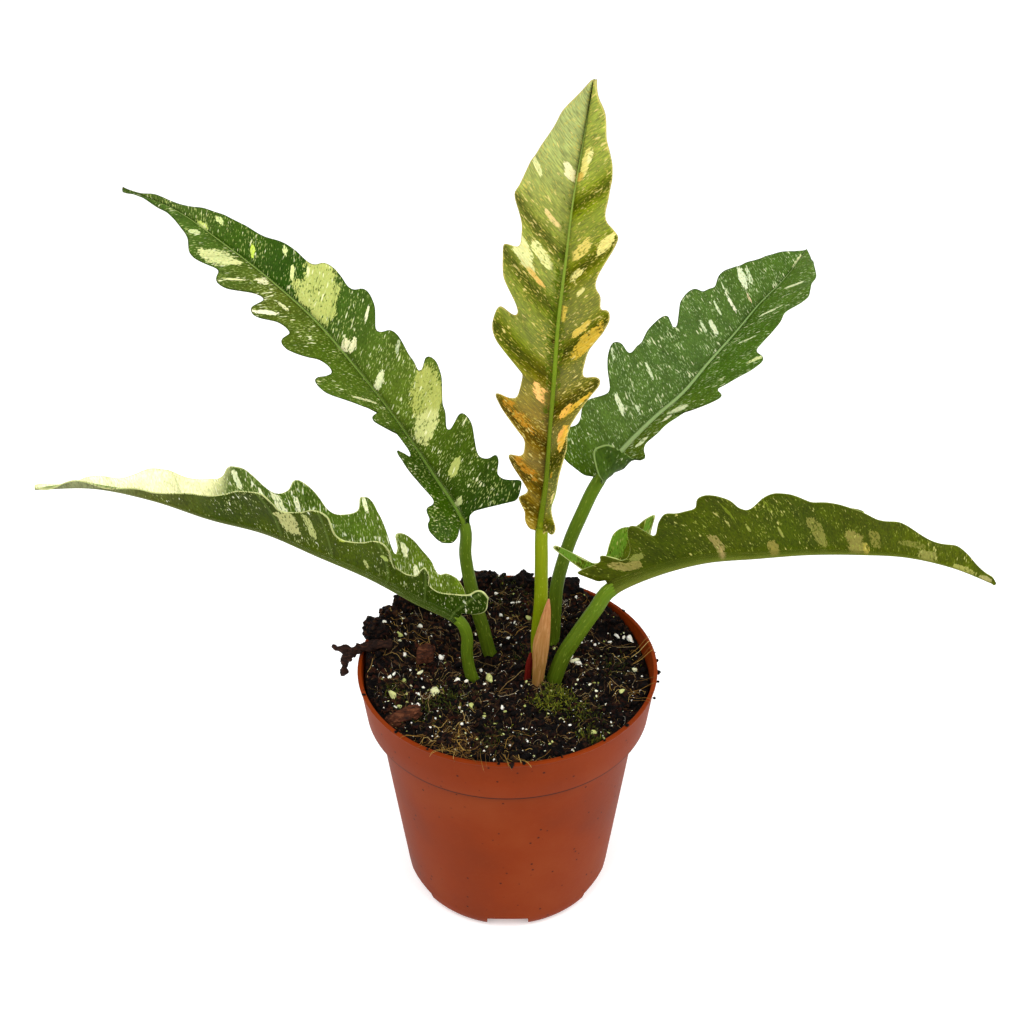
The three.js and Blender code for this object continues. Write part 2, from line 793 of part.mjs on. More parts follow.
// One thick root that runs out and down from the stem
function root(angle, grow) {
  const { x, y, foot, rootHeight, rootStart, rootRadius, rootTaper } = CROWN;
  const { rootReach, rootDrop, rootSteps, rootSides } = CROWN;
  const outward = new THREE.Vector3(Math.cos(angle), Math.sin(angle), 0);
  const right = new THREE.Vector3(Math.sin(angle), -Math.cos(angle), 0);
  const start = new THREE.Vector3(x, y, foot + rootHeight);
  const rings = [];
  for (let i = 0; i <= rootSteps; i += 1) {
    const share = i / rootSteps;
    const beyond = i === rootSteps ? grow : 0;
    const centre = start.clone()
      .addScaledVector(outward, rootStart + rootReach * Math.sin(share * Math.PI / 2));
    centre.z -= rootDrop * share * share + beyond;
    const slope = Math.atan2(2 * rootDrop * share, rootReach * Math.PI / 2);
    const up = outward.clone().multiplyScalar(Math.sin(slope));
    up.z = Math.cos(slope);
    const thick = (rootRadius + grow) * (1 - rootTaper * share);
    rings.push(ring(centre, up, right, thick, thick, rootSides));
  }
  return toSolid(skin(rings));
}

// Sheath as a flattened tapering spike, or with grow the room that it needs
function sheath(stations, grow = 0) {
  const right = new THREE.Vector3(1, 0, 0);
  const back = new THREE.Vector3(0, 1, 0);
  const rings = stations.map(([centre, across, deep], i) => {
    const place = vector(centre);
    if (i === 0) place.z -= grow;
    if (i === stations.length - 1) place.z += grow;
    return ring(place, right, back, across + grow, deep + grow, SHEATH_SIDES);
  });
  return toSolid(skin(rings));
}

// Bark chip, or with grow the pocket that it lies in
function chip([centre, halfSizes, degrees, seed], grow = 0) {
  const grown = halfSizes.map((size) => size + POCKET_SHARE * grow);
  const geometry = lump(grown, dice(seed));
  geometry.rotateZ(THREE.MathUtils.degToRad(degrees)).translate(...centre);
  return toSolid(geometry);
}

// Forked scrap of root, or with grow the groove that it lies in
function scrap(grow = 0) {
  const { sides, steps, knots, knotTurn, arms } = SCRAP;
  const [first, second] = arms.map(({ points, radii }) => {
    const curve = new THREE.CatmullRomCurve3(points.map(vector));
    const frames = curve.computeFrenetFrames(steps, false);
    const rings = [];
    for (let i = 0; i <= steps; i += 1) {
      const knot = 1 + knots * Math.sin(knotTurn * i);
      const radius = THREE.MathUtils.lerp(...radii, i / steps) * knot + grow;
      const centre = curve.getPointAt(i / steps);
      if (i === 0) centre.addScaledVector(frames.tangents[0], -grow);
      rings.push(ring(centre, frames.normals[i], frames.binormals[i], radius, radius, sides));
    }
    return toSolid(skin(rings));
  });
  return first.add(second);
}

// Finishes
const finish = (color, roughness) => () => (
  new THREE.MeshStandardMaterial({ color, roughness, metalness: 0 })
);
const terracottaPlastic = finish(0x9c4a2a, 0.55);
const peat = finish(0x2a1d15, 0.95);
const stemBark = finish(0x6b5a3a, 0.8);
const greenStalk = finish(0x4f7a26, 0.5);
const limeStalk = finish(0x86a21f, 0.5);
const darkLeaf = finish(0x2f5a24, 0.45);
const oliveLeaf = finish(0x4b5f17, 0.45);
const youngLeaf = finish(0x8a8a2c, 0.45);
const drySkin = finish(0xb07a5c, 0.8);
const redSkin = finish(0x5c1512, 0.6);
const bark = finish(0x5d3524, 0.9);

const STALK_FINISH = { middle: limeStalk };
const LEAF_FINISH = { middle: youngLeaf, lower_left: oliveLeaf, lower_right: oliveLeaf };

const plant = new THREE.Group();

function place(name, geometry, material) {
  geometry.computeVertexNormals();
  const mesh = new THREE.Mesh(geometry, material());
  mesh.name = name;
  plant.add(mesh);
}

place('pot', pot(), terracottaPlastic);

const rooms = [
  crown(ROOM),
  scrap(ROOM),
  ...Object.values(LEAVES).map((leaf) => stalk(leaf, ROOM)),
  ...Object.values(SHEATHS).map((stations) => sheath(stations, ROOM)),
  ...Object.values(CHIPS).map((data) => chip(data, GAP)),
];
place('soil', soil(rooms), peat);

place('crown', toGeometry(crown()), stemBark);
Object.entries(LEAVES).forEach(([name, leaf]) => {
  place(`stalk_${name}`, standingStalk(leaf), STALK_FINISH[name] ?? greenStalk);
  place(`leaf_${name}`, blade(leaf), LEAF_FINISH[name] ?? darkLeaf);
});
place('dry_sheath', toGeometry(sheath(SHEATHS.dry_sheath)), drySkin);
place('red_sheath', toGeometry(sheath(SHEATHS.red_sheath)), redSkin);
Object.entries(CHIPS).forEach(([name, data]) => place(name, toGeometry(chip(data)), bark));
place('rim_scrap', toGeometry(scrap()), bark);

export default plant;
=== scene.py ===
"""Looks of the potted ring of fire philodendron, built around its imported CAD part.

Sizes are millimetres in the frame of the CAD part, and become metres once, where a mesh gets
its points. Colours are sRGB hex digits.
"""

import logging
import math
from collections.abc import Callable, Iterator
from contextlib import contextmanager
from dataclasses import dataclass, field
from enum import Enum
from functools import partial

import bpy
import numpy as np
from mathutils import Matrix


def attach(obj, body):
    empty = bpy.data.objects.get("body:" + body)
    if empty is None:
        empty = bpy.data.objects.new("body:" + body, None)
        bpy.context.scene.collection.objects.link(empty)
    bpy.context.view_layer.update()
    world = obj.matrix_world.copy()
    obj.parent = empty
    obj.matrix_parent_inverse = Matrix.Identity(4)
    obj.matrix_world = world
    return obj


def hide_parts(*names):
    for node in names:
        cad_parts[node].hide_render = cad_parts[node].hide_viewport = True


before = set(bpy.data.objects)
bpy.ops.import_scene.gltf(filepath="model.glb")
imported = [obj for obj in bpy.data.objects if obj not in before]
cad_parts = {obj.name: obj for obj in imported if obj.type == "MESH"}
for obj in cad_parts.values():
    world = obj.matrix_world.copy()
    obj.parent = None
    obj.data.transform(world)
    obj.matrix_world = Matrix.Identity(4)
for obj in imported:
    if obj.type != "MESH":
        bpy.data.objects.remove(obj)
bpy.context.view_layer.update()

MM = 0.001
BODY = "root"
WELD = 1e-7
POT_WELD = 1e-6
TINY = 1e-9
FULL_TURN = 2 * math.pi

Socket = bpy.types.NodeSocket
Array = np.ndarray
Object = bpy.types.Object
Material = bpy.types.Material
Point = tuple[float, float, float]
Stops = tuple[tuple[float, str], ...]
Pairs = tuple[tuple[float, float], ...]
AddNode = Callable[..., Socket | None]

log = logging.getLogger("plant")


class Half(Enum):
    """Half of a blade, as the side of the midrib that it lies on seen from above."""

    RIGHT = 1
    LEFT = -1


class Face(Enum):
    """Face of a blade."""

    UPPER = 0
    UNDER = 1


Side = tuple[Face, Half]


class Kind(Enum):
    """Shader node: its type, its main inputs in order, its main output and its settings."""

    PLACE = ("TexCoord", (), "Object", {})
    ATTRIBUTE = ("Attribute", (), "Fac", {})
    NOISE = ("TexNoise", ("Vector", "Scale", "Detail", "Roughness", "Distortion"), "Fac", {})
    CELLS = ("TexVoronoi", ("Vector", "Scale"), "Distance", {})
    AXES = ("SeparateXYZ", ("Vector",), "Z", {})
    CHANNELS = ("SeparateColor", ("Color",), 0, {})
    RANGE = ("MapRange", ("Value", "From Min", "From Max", "To Min", "To Max"), 0, {})
    RAMP = ("ValToRGB", ("Fac",), "Color", {})
    MIX = ("Mix", (0, 6, 7), 2, {"data_type": "RGBA"})
    PLUS = ("Math", (0, 1), 0, {"operation": "ADD"})
    MINUS = ("Math", (0, 1), 0, {"operation": "SUBTRACT"})
    TIMES = ("Math", (0, 1), 0, {"operation": "MULTIPLY"})
    TIMES_PLUS = ("Math", (0, 1, 2), 0, {"operation": "MULTIPLY_ADD"})
    STRETCH = ("VectorMath", (0, 1), 0, {"operation": "MULTIPLY"})
    BRIGHTEN = ("VectorMath", (0, "Scale"), 0, {"operation": "SCALE"})
    BUMP = ("Bump", ("Height", "Strength", "Distance"), 0, {})
    SKIN = ("BsdfPrincipled", ("Base Color", "Roughness", "Normal"), 0, {})
    SURFACE = ("OutputMaterial", ("Surface",), None, {})
    GLOW = ("Background", ("Color", "Strength"), 0, {})
    SKY = ("OutputWorld", ("Surface",), None, {})


# Small tools


def linear(colour: str) -> tuple[float, float, float, float]:
    """Turns an sRGB hex colour to the linear one that Blender works with.

    Args:
        colour: six hex digits.

    Returns:
        Red, green, blue and an alpha of one.
    """
    parts = [int(colour[i : i + 2], 16) / 255 for i in (0, 2, 4)]
    low = [part / 12.92 for part in parts]
    high = [((part + 0.055) / 1.055) ** 2.4 for part in parts]
    red, green, blue = (a if p <= 0.04045 else b for p, a, b in zip(parts, low, high))
    return (red, green, blue, 1.0)


def add_node(
    tree: bpy.types.NodeTree, kind: Kind, *values: object, output: str | int | None = None,
    stops: Stops = (), **more: object,
) -> Socket | None:
    """Adds a node, with its settings, its values and the links into it.

    Args:
        tree: node tree of a material or of the world.
        kind: type of the node.
        values: for each main input, a value, a hex colour or the output that it is linked to.
        output: the output to hand back, where it isn't the main one.
        stops: places and hex colours of a colour ramp.
        more: settings, which start with a small letter, and further inputs, which start with a
            capital and have low lines for spaces.

    Returns:
        An output of the node, if it has any.
    """
    name, keys, main_output, settings = kind.value
    node = tree.nodes.new(f"ShaderNode{name}")
    inputs = dict(zip(keys, values))
    for key, value in {**settings, **more}.items():
        if key[0].isupper():
            inputs[key.replace("_", " ")] = value
        else:
            setattr(node, key, value)
    for i, (place, colour) in enumerate(stops):
        elements = node.color_ramp.elements
        element = elements[i] if i < 2 else elements.new(place)
        element.position = place
        element.color = linear(colour)
    for key, value in inputs.items():
        if isinstance(value, Socket):
            tree.links.new(value, node.inputs[key])
        else:
            node.inputs[key].default_value = linear(value) if isinstance(value, str) else value
    return node.outputs[main_output if output is None else output] if node.outputs else None


def new_material(name: str) -> tuple[Material, AddNode]:
    """Makes an empty material.

    Args:
        name: name of the real material.

    Returns:
        The material, and what adds a node to it.
    """
    made = bpy.data.materials.new(name)
    made.use_nodes = True
    made.node_tree.nodes.clear()
    return made, partial(add_node, made.node_tree)


def close_material(
    add: AddNode, colour: Socket, rough: Socket | float, height: Socket,
    relief: tuple[float, float], **more: object,
) -> None:
    """Adds the bump, the shader and the output.

    Args:
        add: adds a node to the material.
        colour: colour of the surface.
        rough: its roughness.
        height: height that the bump follows.
        relief: strength of the bump and its depth in millimetres.
        more: further inputs of the shader.
    """
    strength, depth = relief
    bump = add(Kind.BUMP, height, strength, depth * MM)
    add(Kind.SURFACE, add(Kind.SKIN, colour, rough, bump, **more))


def cells(*sizes: float) -> tuple[float, ...]:
    """Turns the sizes of a pattern's cells along its axes to its scales."""
    return tuple(1 / size for size in sizes)


def unit(rows: Array) -> Array:
    """Scales vectors to a length of one."""
    return rows / np.linalg.norm(rows, axis=-1, keepdims=True)


def square(rows: Array, axis: Array) -> Array:
    """Turns vectors square to a unit axis."""
    return unit(rows - axis * np.sum(rows * axis, axis=-1, keepdims=True))


def table(pairs: Pairs, x: Array) -> Array:
    """Reads a piecewise straight table at x."""
    return np.interp(x, *zip(*pairs))


def around(radius: Array, turned: Array, height: Array) -> Array:
    """Places points about the pot's axis."""
    return np.stack([radius * np.cos(turned), radius * np.sin(turned), height], -1)


def run_along(points: Array) -> Array:
    """Measures how far along a line each of its points is."""
    steps = np.linalg.norm(np.diff(points, axis=0), axis=1)
    return np.concatenate([[0], np.cumsum(steps)])


def read_rows(x: Array, places: Array, rows: Array) -> Array:
    """Reads rows, which stand at places, in between at x."""
    return np.stack([np.interp(x, places, column) for column in rows.T], -1)


def colours_at(stops: Stops, x: Array) -> Array:
    """Mixes linear colours at x from stops."""
    places, colours = zip(*stops)
    return read_rows(x, places, np.array([linear(colour)[:3] for colour in colours]))


class Roughness:
    """Smooth seeded noise between minus one and one, for the shapes of rough things."""

    CORNERS = 4096
    PRIMES = (73856093, 19349663, 83492791)
    LAYER_SHIFT = 17.3

    def __init__(self, seed: int) -> None:
        """Draws the values at the corners of the noise's cells."""
        self.values = np.random.default_rng(seed).uniform(-1, 1, self.CORNERS)

    def single(self, points: Array) -> Array:
        """Reads one layer of noise whose cells are one unit across.

        Args:
            points: places, one a row.

        Returns:
            A value for each place.
        """
        cell = np.floor(points).astype(np.int64)
        part = points - cell
        part = part * part * (3 - 2 * part)
        total = np.zeros(len(points))
        for corner in np.ndindex(2, 2, 2):
            step = np.array(corner)
            weight = np.prod(np.where(step == 1, part, 1 - part), axis=-1)
            x, y, z = ((cell + step) * self.PRIMES).T
            total += weight * self.values[(x ^ y ^ z) % self.CORNERS]
        return total

    def layered(self, points: Array, size: float, layers: int = 3) -> Array:
        """Adds layers of noise, each half the size and half the strength of the last.

        Args:
            points: places, one a row.
            size: size of the largest lumps.
            layers: number of layers.

        Returns:
            A value for each place.
        """
        total = np.zeros(len(points))
        for k in range(layers):
            total += self.single(points * 2**k / size + self.LAYER_SHIFT * k) / 2**k
        return total


# Mesh tools


def choose(*pieces: Object) -> None:
    """Selects these objects alone, and makes the first one active.

    Args:
        pieces: the objects, or none to clear the selection.
    """
    bpy.ops.object.select_all(action="DESELECT")
    for piece in pieces:
        piece.select_set(True)
    if pieces:
        bpy.context.view_layer.objects.active = pieces[0]


@contextmanager
def editing(piece: Object, everything: bool = True) -> Iterator[None]:
    """Opens a piece in edit mode and closes it again.

    Args:
        piece: mesh object.
        everything: selects the whole mesh first, or else leaves its selection as it is.

    Yields:
        Nothing, while the piece is open.
    """
    choose(piece)
    bpy.ops.object.mode_set(mode="EDIT")
    if everything:
        bpy.ops.mesh.select_all(action="SELECT")
    yield
    bpy.ops.object.mode_set(mode="OBJECT")
    choose()


def face_outwards(piece: Object) -> None:
    """Turns all faces of a closed piece outwards."""
    with editing(piece):
        bpy.ops.mesh.normals_make_consistent(inside=False)


def join(pieces: list[Object]) -> Object:
    """Joins objects to the first of them.

    Args:
        pieces: mesh objects.

    Returns:
        The first one, which holds them all.
    """
    choose(*pieces)
    bpy.ops.object.join()
    return pieces[0]


def name_new(name: str) -> Object:
    """Names the primitive that was just added.

    Args:
        name: name of the object and its mesh.

    Returns:
        The object.
    """
    piece = bpy.context.object
    piece.name = piece.data.name = name
    return piece


def new_ball(name: str, subdivisions: int) -> tuple[Object, Array]:
    """Adds a ball with a radius of one.

    Args:
        name: name of the ball.
        subdivisions: fineness of its faces.

    Returns:
        The ball and the places of its vertices.
    """
    choose()
    bpy.ops.mesh.primitive_ico_sphere_add(subdivisions=subdivisions, radius=1)
    piece = name_new(name)
    return piece, get_points(piece)


def get_points(piece: Object) -> Array:
    """Reads the places of a mesh's vertices.

    Args:
        piece: mesh object.

    Returns:
        A place for each vertex.
    """
    flat = np.empty(3 * len(piece.data.vertices))
    piece.data.vertices.foreach_get("co", flat)
    return flat.reshape(-1, 3)


def set_points(piece: Object, points: Array) -> None:
    """Writes the places of a mesh's vertices."""
    piece.data.vertices.foreach_set("co", np.ascontiguousarray(points, float).ravel())
    piece.data.update()


def paint(piece: Object, name: str, values: Array) -> None:
    """Keeps a value, a vector or a colour for each vertex, which the material reads by name.

    Args:
        piece: mesh object.
        name: name of the attribute.
        values: one row for each vertex, with one, three or four numbers.
    """
    kinds = {1: ("FLOAT", "value"), 3: ("FLOAT_VECTOR", "vector"), 4: ("FLOAT_COLOR", "color")}
    kind, key = kinds[1 if values.ndim == 1 else values.shape[1]]
    attribute = piece.data.attributes.new(name, kind, "POINT")
    attribute.data.foreach_set(key, np.ascontiguousarray(values, np.float32).ravel())


def new_grid(name: str, columns: int, rows: int) -> tuple[Object, Array]:
    """Adds a flat grid one unit across.

    Args:
        name: name of the piece.
        columns: faces along x.
        rows: faces along y.

    Returns:
        The object, and for each vertex its column and row.
    """
    choose()
    bpy.ops.mesh.primitive_grid_add(x_subdivisions=columns, y_subdivisions=rows, size=1)
    piece = name_new(name)
    return piece, grid_places(piece, columns, rows)


def grid_places(piece: Object, columns: int, rows: int) -> Array:
    """Reads the column and row of each vertex of a flat grid one unit across."""
    shares = get_points(piece)[:, :2] + 0.5
    return np.rint(shares * (columns, rows)).astype(int)


def new_tube(name: str, centres: Array, first: Array, second: Array, sides: int) -> Object:
    """Rolls a grid to a tube, closed where its first and last rings shrink to a point.

    Args:
        name: name of the piece.
        centres: middle of each ring.
        first: half size vector of each ring towards its first axis.
        second: half size vector of each ring towards its second axis, so that first by second
            points back along the tube.
        sides: faces round the tube.

    Returns:
        The tube, in metres. Its attribute tube_place holds where each vertex is across the tube
        and along it, in millimetres, and its attribute share how far along it is.
    """
    piece, places = new_grid(name, len(centres) - 1, sides)
    row, side = places.T
    turned = FULL_TURN * (side % sides) / sides
    across = first[row] * np.cos(turned)[:, None] + second[row] * np.sin(turned)[:, None]
    set_points(piece, (centres[row] + across) * MM)
    wide = np.linalg.norm(first, axis=1)[row]
    paint(piece, "tube_place", around(wide, turned, run_along(centres)[row]))
    paint(piece, "share", row / (len(centres) - 1))
    with editing(piece):
        bpy.ops.mesh.remove_doubles(threshold=WELD)
    return piece


def smooth_curve(points: Array, per_span: int) -> Array:
    """Draws a smooth curve through points.

    Args:
        points: places that the curve passes through.
        per_span: steps from each point to the next.

    Returns:
        Places along the curve.
    """
    knots = np.vstack([2 * points[0] - points[1], points, 2 * points[-1] - points[-2]])
    share = np.linspace(0, 1, per_span, endpoint=False)[:, None]
    drawn = []
    for i in range(1, len(knots) - 2):
        leave = (knots[i + 1] - knots[i - 1]) / 2
        reach = (knots[i + 2] - knots[i]) / 2
        bend = -3 * knots[i] + 3 * knots[i + 1] - 2 * leave - reach
        twist = 2 * knots[i] - 2 * knots[i + 1] + leave + reach
        drawn.append(knots[i] + leave * share + bend * share**2 + twist * share**3)
    return np.vstack([*drawn, knots[-2]])


def join_copies(name: str, template: Object, points: Array, tones: Array) -> Object:
    """Makes one mesh of many bent copies of a template, and removes the template.

    Args:
        name: name of the new piece.
        template: the shape that repeats.
        points: for each copy, the places of the template's vertices, in millimetres.
        tones: for each copy, a number that the material turns to its colour.

    Returns:
        The new piece, with the attribute tone.
    """
    faces = [list(polygon.vertices) for polygon in template.data.polygons]
    count, each = points.shape[:2]
    shifted = [[v + each * k for v in face] for k in range(count) for face in faces]
    mesh = bpy.data.meshes.new(name)
    mesh.from_pydata((points.reshape(-1, 3) * MM).tolist(), [], shifted)
    mesh.update()
    piece = bpy.data.objects.new(name, mesh)
    bpy.context.scene.collection.objects.link(piece)
    paint(piece, "tone", np.repeat(tones, each))
    remove_piece(template)
    return piece


def remove_piece(piece: Object) -> None:
    """Takes an object out of the scene with its mesh."""
    bpy.data.meshes.remove(piece.data)


def settle(piece: Object, material: Material, slot: str, *nodes: str, crease: float = 180) -> None:
    """Dresses a finished piece and ties it to the part.

    Args:
        piece: finished mesh object.
        material: its finish.
        slot: not used.
        nodes: CAD nodes that it stands for.
        crease: angle in degrees past which an edge stays sharp.
    """
    piece.data.materials.clear()
    piece.data.materials.append(material)
    choose(piece)
    bpy.ops.object.shade_smooth()
    if crease < 180:
        bpy.ops.object.shade_smooth_by_angle(angle=math.radians(crease))
    choose()
    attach(piece, BODY)
    if nodes:
        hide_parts(*nodes)
    piece.data.calc_loop_triangles()
    log.info("%s: %d triangles", piece.name, len(piece.data.loop_triangles))


# Finishes


@dataclass(frozen=True)
class MouldedPlastic:
    """Injection moulded polypropylene in terracotta: an even satin skin, dusty and a bit scuffed."""

    name: str = "moulded_polypropylene"
    colour: str = "762a03"
    dusty: str = "803815"
    shade: str = "6b2502"
    # Colour of the peat specks, and also of the painted shade under the collar
    dirt_and_shade: str = "1c0d08"

    def material(self) -> Material:
        """Builds the material.

        Returns:
            The finish of the pot.
        """
        made, add = new_material(self.name)
        place = add(Kind.PLACE)
        # Wide tints, about 40 mm across, from handling and dried water
        wide = add(Kind.NOISE, place, 1 / 0.04, 4)
        stops = ((0.32, self.shade), (0.52, self.colour), (0.85, self.dusty))
        tint = add(Kind.RAMP, wide, stops=stops)
        # Dust in 2 mm flecks
        fine = add(Kind.NOISE, place, 1 / 0.002, 5, 0.7)
        dust = add(Kind.MIX, add(Kind.RANGE, fine, 0.52, 0.8, 0, 0.25), tint, self.dusty)
        # Specks of peat about 1 mm across, in loose clusters
        speck = add(Kind.RANGE, add(Kind.CELLS, place, 1 / 0.0045), 0.14, 0.08)
        where = add(Kind.RANGE, add(Kind.NOISE, place, 1 / 0.016, 2), 0.38, 0.5, 0, 0.85)
        dirty = add(Kind.MIX, add(Kind.TIMES, speck, where), dust, self.dirt_and_shade)
        # Painted shade in the corner under the collar, darkest in its last 0.6 mm
        height = add(Kind.AXES, place)
        below = add(Kind.RANGE, height, 0.0815, 0.0872, 0, 0.25)
        corner = add(Kind.PLUS, below, add(Kind.RANGE, height, 0.0858, 0.0864, 0, 0.75))
        inside = add(Kind.RANGE, height, 0.0890, 0.0884)
        colour = add(Kind.MIX, add(Kind.TIMES, corner, inside), dirty, self.dirt_and_shade)
        close_material(
            add, colour, add(Kind.RANGE, wide, 0.2, 0.8, 0.46, 0.58), fine, (0.25, 0.2),
            IOR=1.49, Specular_IOR_Level=0.05, Subsurface_Weight=0.03, Subsurface_Scale=0.002,
        )
        return made


@dataclass(frozen=True)
class Peat:
    """Moist sphagnum peat: near black crumbs with rusty and brown bits, faintly glossy where wet."""

    name: str = "moist_sphagnum_peat"
    dark: str = "040202"
    brown: str = "140b06"
    rust: str = "401c0e"
    tan: str = "5a4026"

    def material(self) -> Material:
        """Builds the material.

        Returns:
            The finish of the root ball and of loose crumbs.
        """
        made, add = new_material(self.name)
        place = add(Kind.PLACE)
        # Crumbs of 1.1 mm, each with its own brown
        own = add(Kind.CHANNELS, add(Kind.CELLS, place, 1 / 0.0011, output="Color"))
        stops = ((0.3, self.dark), (0.62, self.brown), (0.88, self.rust), (1.0, self.tan))
        brown = add(Kind.RAMP, own, stops=stops)
        clouds = add(Kind.RANGE, add(Kind.NOISE, place, 1 / 0.012, 4), 0.35, 0.65, 0.2, 1)
        # Darker towards the front and the right
        right, back = (add(Kind.AXES, place, output=axis) for axis in "XY")
        front = add(Kind.MINUS, right, back)
        dim = add(Kind.TIMES, clouds, add(Kind.RANGE, front, -0.02, 0.045, 1, 0.55))
        colour = add(Kind.MIX, dim, self.dark, brown)
        grit = add(Kind.NOISE, place, 1 / 0.0007, 3, 0.7)
        close_material(
            add, colour, add(Kind.RANGE, grit, 0.3, 0.7, 0.5, 0.95), grit, (1.0, 0.9), IOR=1.4,
            Specular_IOR_Level=0.14,
        )
        return made


@dataclass(frozen=True)
class Tinted:
    """Small loose things of one kind that differ in tint, such as perlite, moss or root hairs."""

    name: str
    stops: Stops
    rough: float
    grain: float
    depth: float
    through: float = 0.0

    def material(self) -> Material:
        """Builds the material. The attribute tone picks each thing's colour.

        Returns:
            The finish.
        """
        made, add = new_material(self.name)
        fine = add(Kind.NOISE, add(Kind.PLACE), 1 / (self.grain * MM), 3, 0.65)
        spread = add(Kind.RANGE, fine, 0.3, 0.7, -0.14, 0.14)
        tone = add(Kind.PLUS, add(Kind.ATTRIBUTE, attribute_name="tone"), spread)
        close_material(
            add, add(Kind.RAMP, tone, stops=self.stops), self.rough, fine, (0.6, self.depth),
            Specular_IOR_Level=0.15, Subsurface_Weight=self.through, Subsurface_Scale=0.001,
        )
        return made


@dataclass(frozen=True)
class PlantSkin:
    """Smooth living skin of a stalk or sheath: waxy, streaked lengthwise, with fine pale dots."""

    name: str
    stops: Stops
    streak: str
    dots: str
    rough: float = 0.38
    streaks: float = 0.35
    depth: float = 0.05

    def material(self) -> Material:
        """Builds the material. Its colour runs from the foot to the top by the attribute share.

        Returns:
            The finish.
        """
        made, add = new_material(self.name)
        place = add(Kind.ATTRIBUTE, attribute_name="tube_place", output="Vector")
        ground = add(Kind.RAMP, add(Kind.ATTRIBUTE, attribute_name="share"), stops=self.stops)
        # Fibres under the skin, 0.7 mm apart and 14 mm long
        fibre = add(Kind.NOISE, add(Kind.STRETCH, place, cells(0.7, 0.7, 14)), 1, 3)
        shown = add(Kind.RANGE, fibre, 0.45, 0.72, 0, self.streaks)
        streaked = add(Kind.MIX, shown, ground, self.streak)
        # Pale dots a quarter of a millimetre wide and 1 mm long
        dots = add(Kind.NOISE, add(Kind.STRETCH, place, cells(0.5, 0.5, 2.2)), 1, 1)
        dotted = add(Kind.MIX, add(Kind.RANGE, dots, 0.66, 0.72, 0, 0.5), streaked, self.dots)
        close_material(
            add, dotted, self.rough, fibre, (0.5, self.depth), IOR=1.42, Specular_IOR_Level=0.06,
            Subsurface_Weight=0.08, Subsurface_Scale=0.002,
        )
        return made


@dataclass(frozen=True)
class Bark:
    """Shredded bark: brown layered wood with cracks along its grain."""

    name: str
    dark: str
    middle: str
    light: str

    def material(self) -> Material:
        """Builds the material.

        Returns:
            The finish.
        """
        made, add = new_material(self.name)
        # Layers 0.8 mm thick that run some 4 mm
        layers = add(Kind.STRETCH, add(Kind.PLACE), cells(0.004, 0.0016, 0.0008))
        grain = add(Kind.NOISE, layers, 1, 5, 0.65, 0.6)
        stops = ((0.34, self.dark), (0.52, self.middle), (0.72, self.light))
        colour = add(Kind.RAMP, grain, stops=stops)
        close_material(add, colour, 0.8, grain, (0.9, 0.8), Specular_IOR_Level=0.14)
        return made


@dataclass(frozen=True)
class Patch:
    """Patch of another colour on a blade, with its long side along the side veins.

    Its middle is given by the station of its side vein on the midrib and the distance out, its
    size by how far it reaches from there along the midrib and outward.
    """

    station: float
    out: float
    reach: float
    long: float
    colour: str
    strength: float = 1.0

    def weight(self, station: Array, out: Array) -> Array:
        """Finds how surely points lie in the patch.

        Args:
            station: where each point's side vein starts.
            out: how far out each point is.

        Returns:
            Weights from zero to one, a half on its outline.
        """
        far = np.abs(station - self.station) / self.reach
        far_out = np.abs(out - self.out) / self.long
        inner = 0.5 + 0.7 * (1 - np.cbrt(far**3 + far_out**3))
        return np.clip(inner, 0, 1) * self.strength


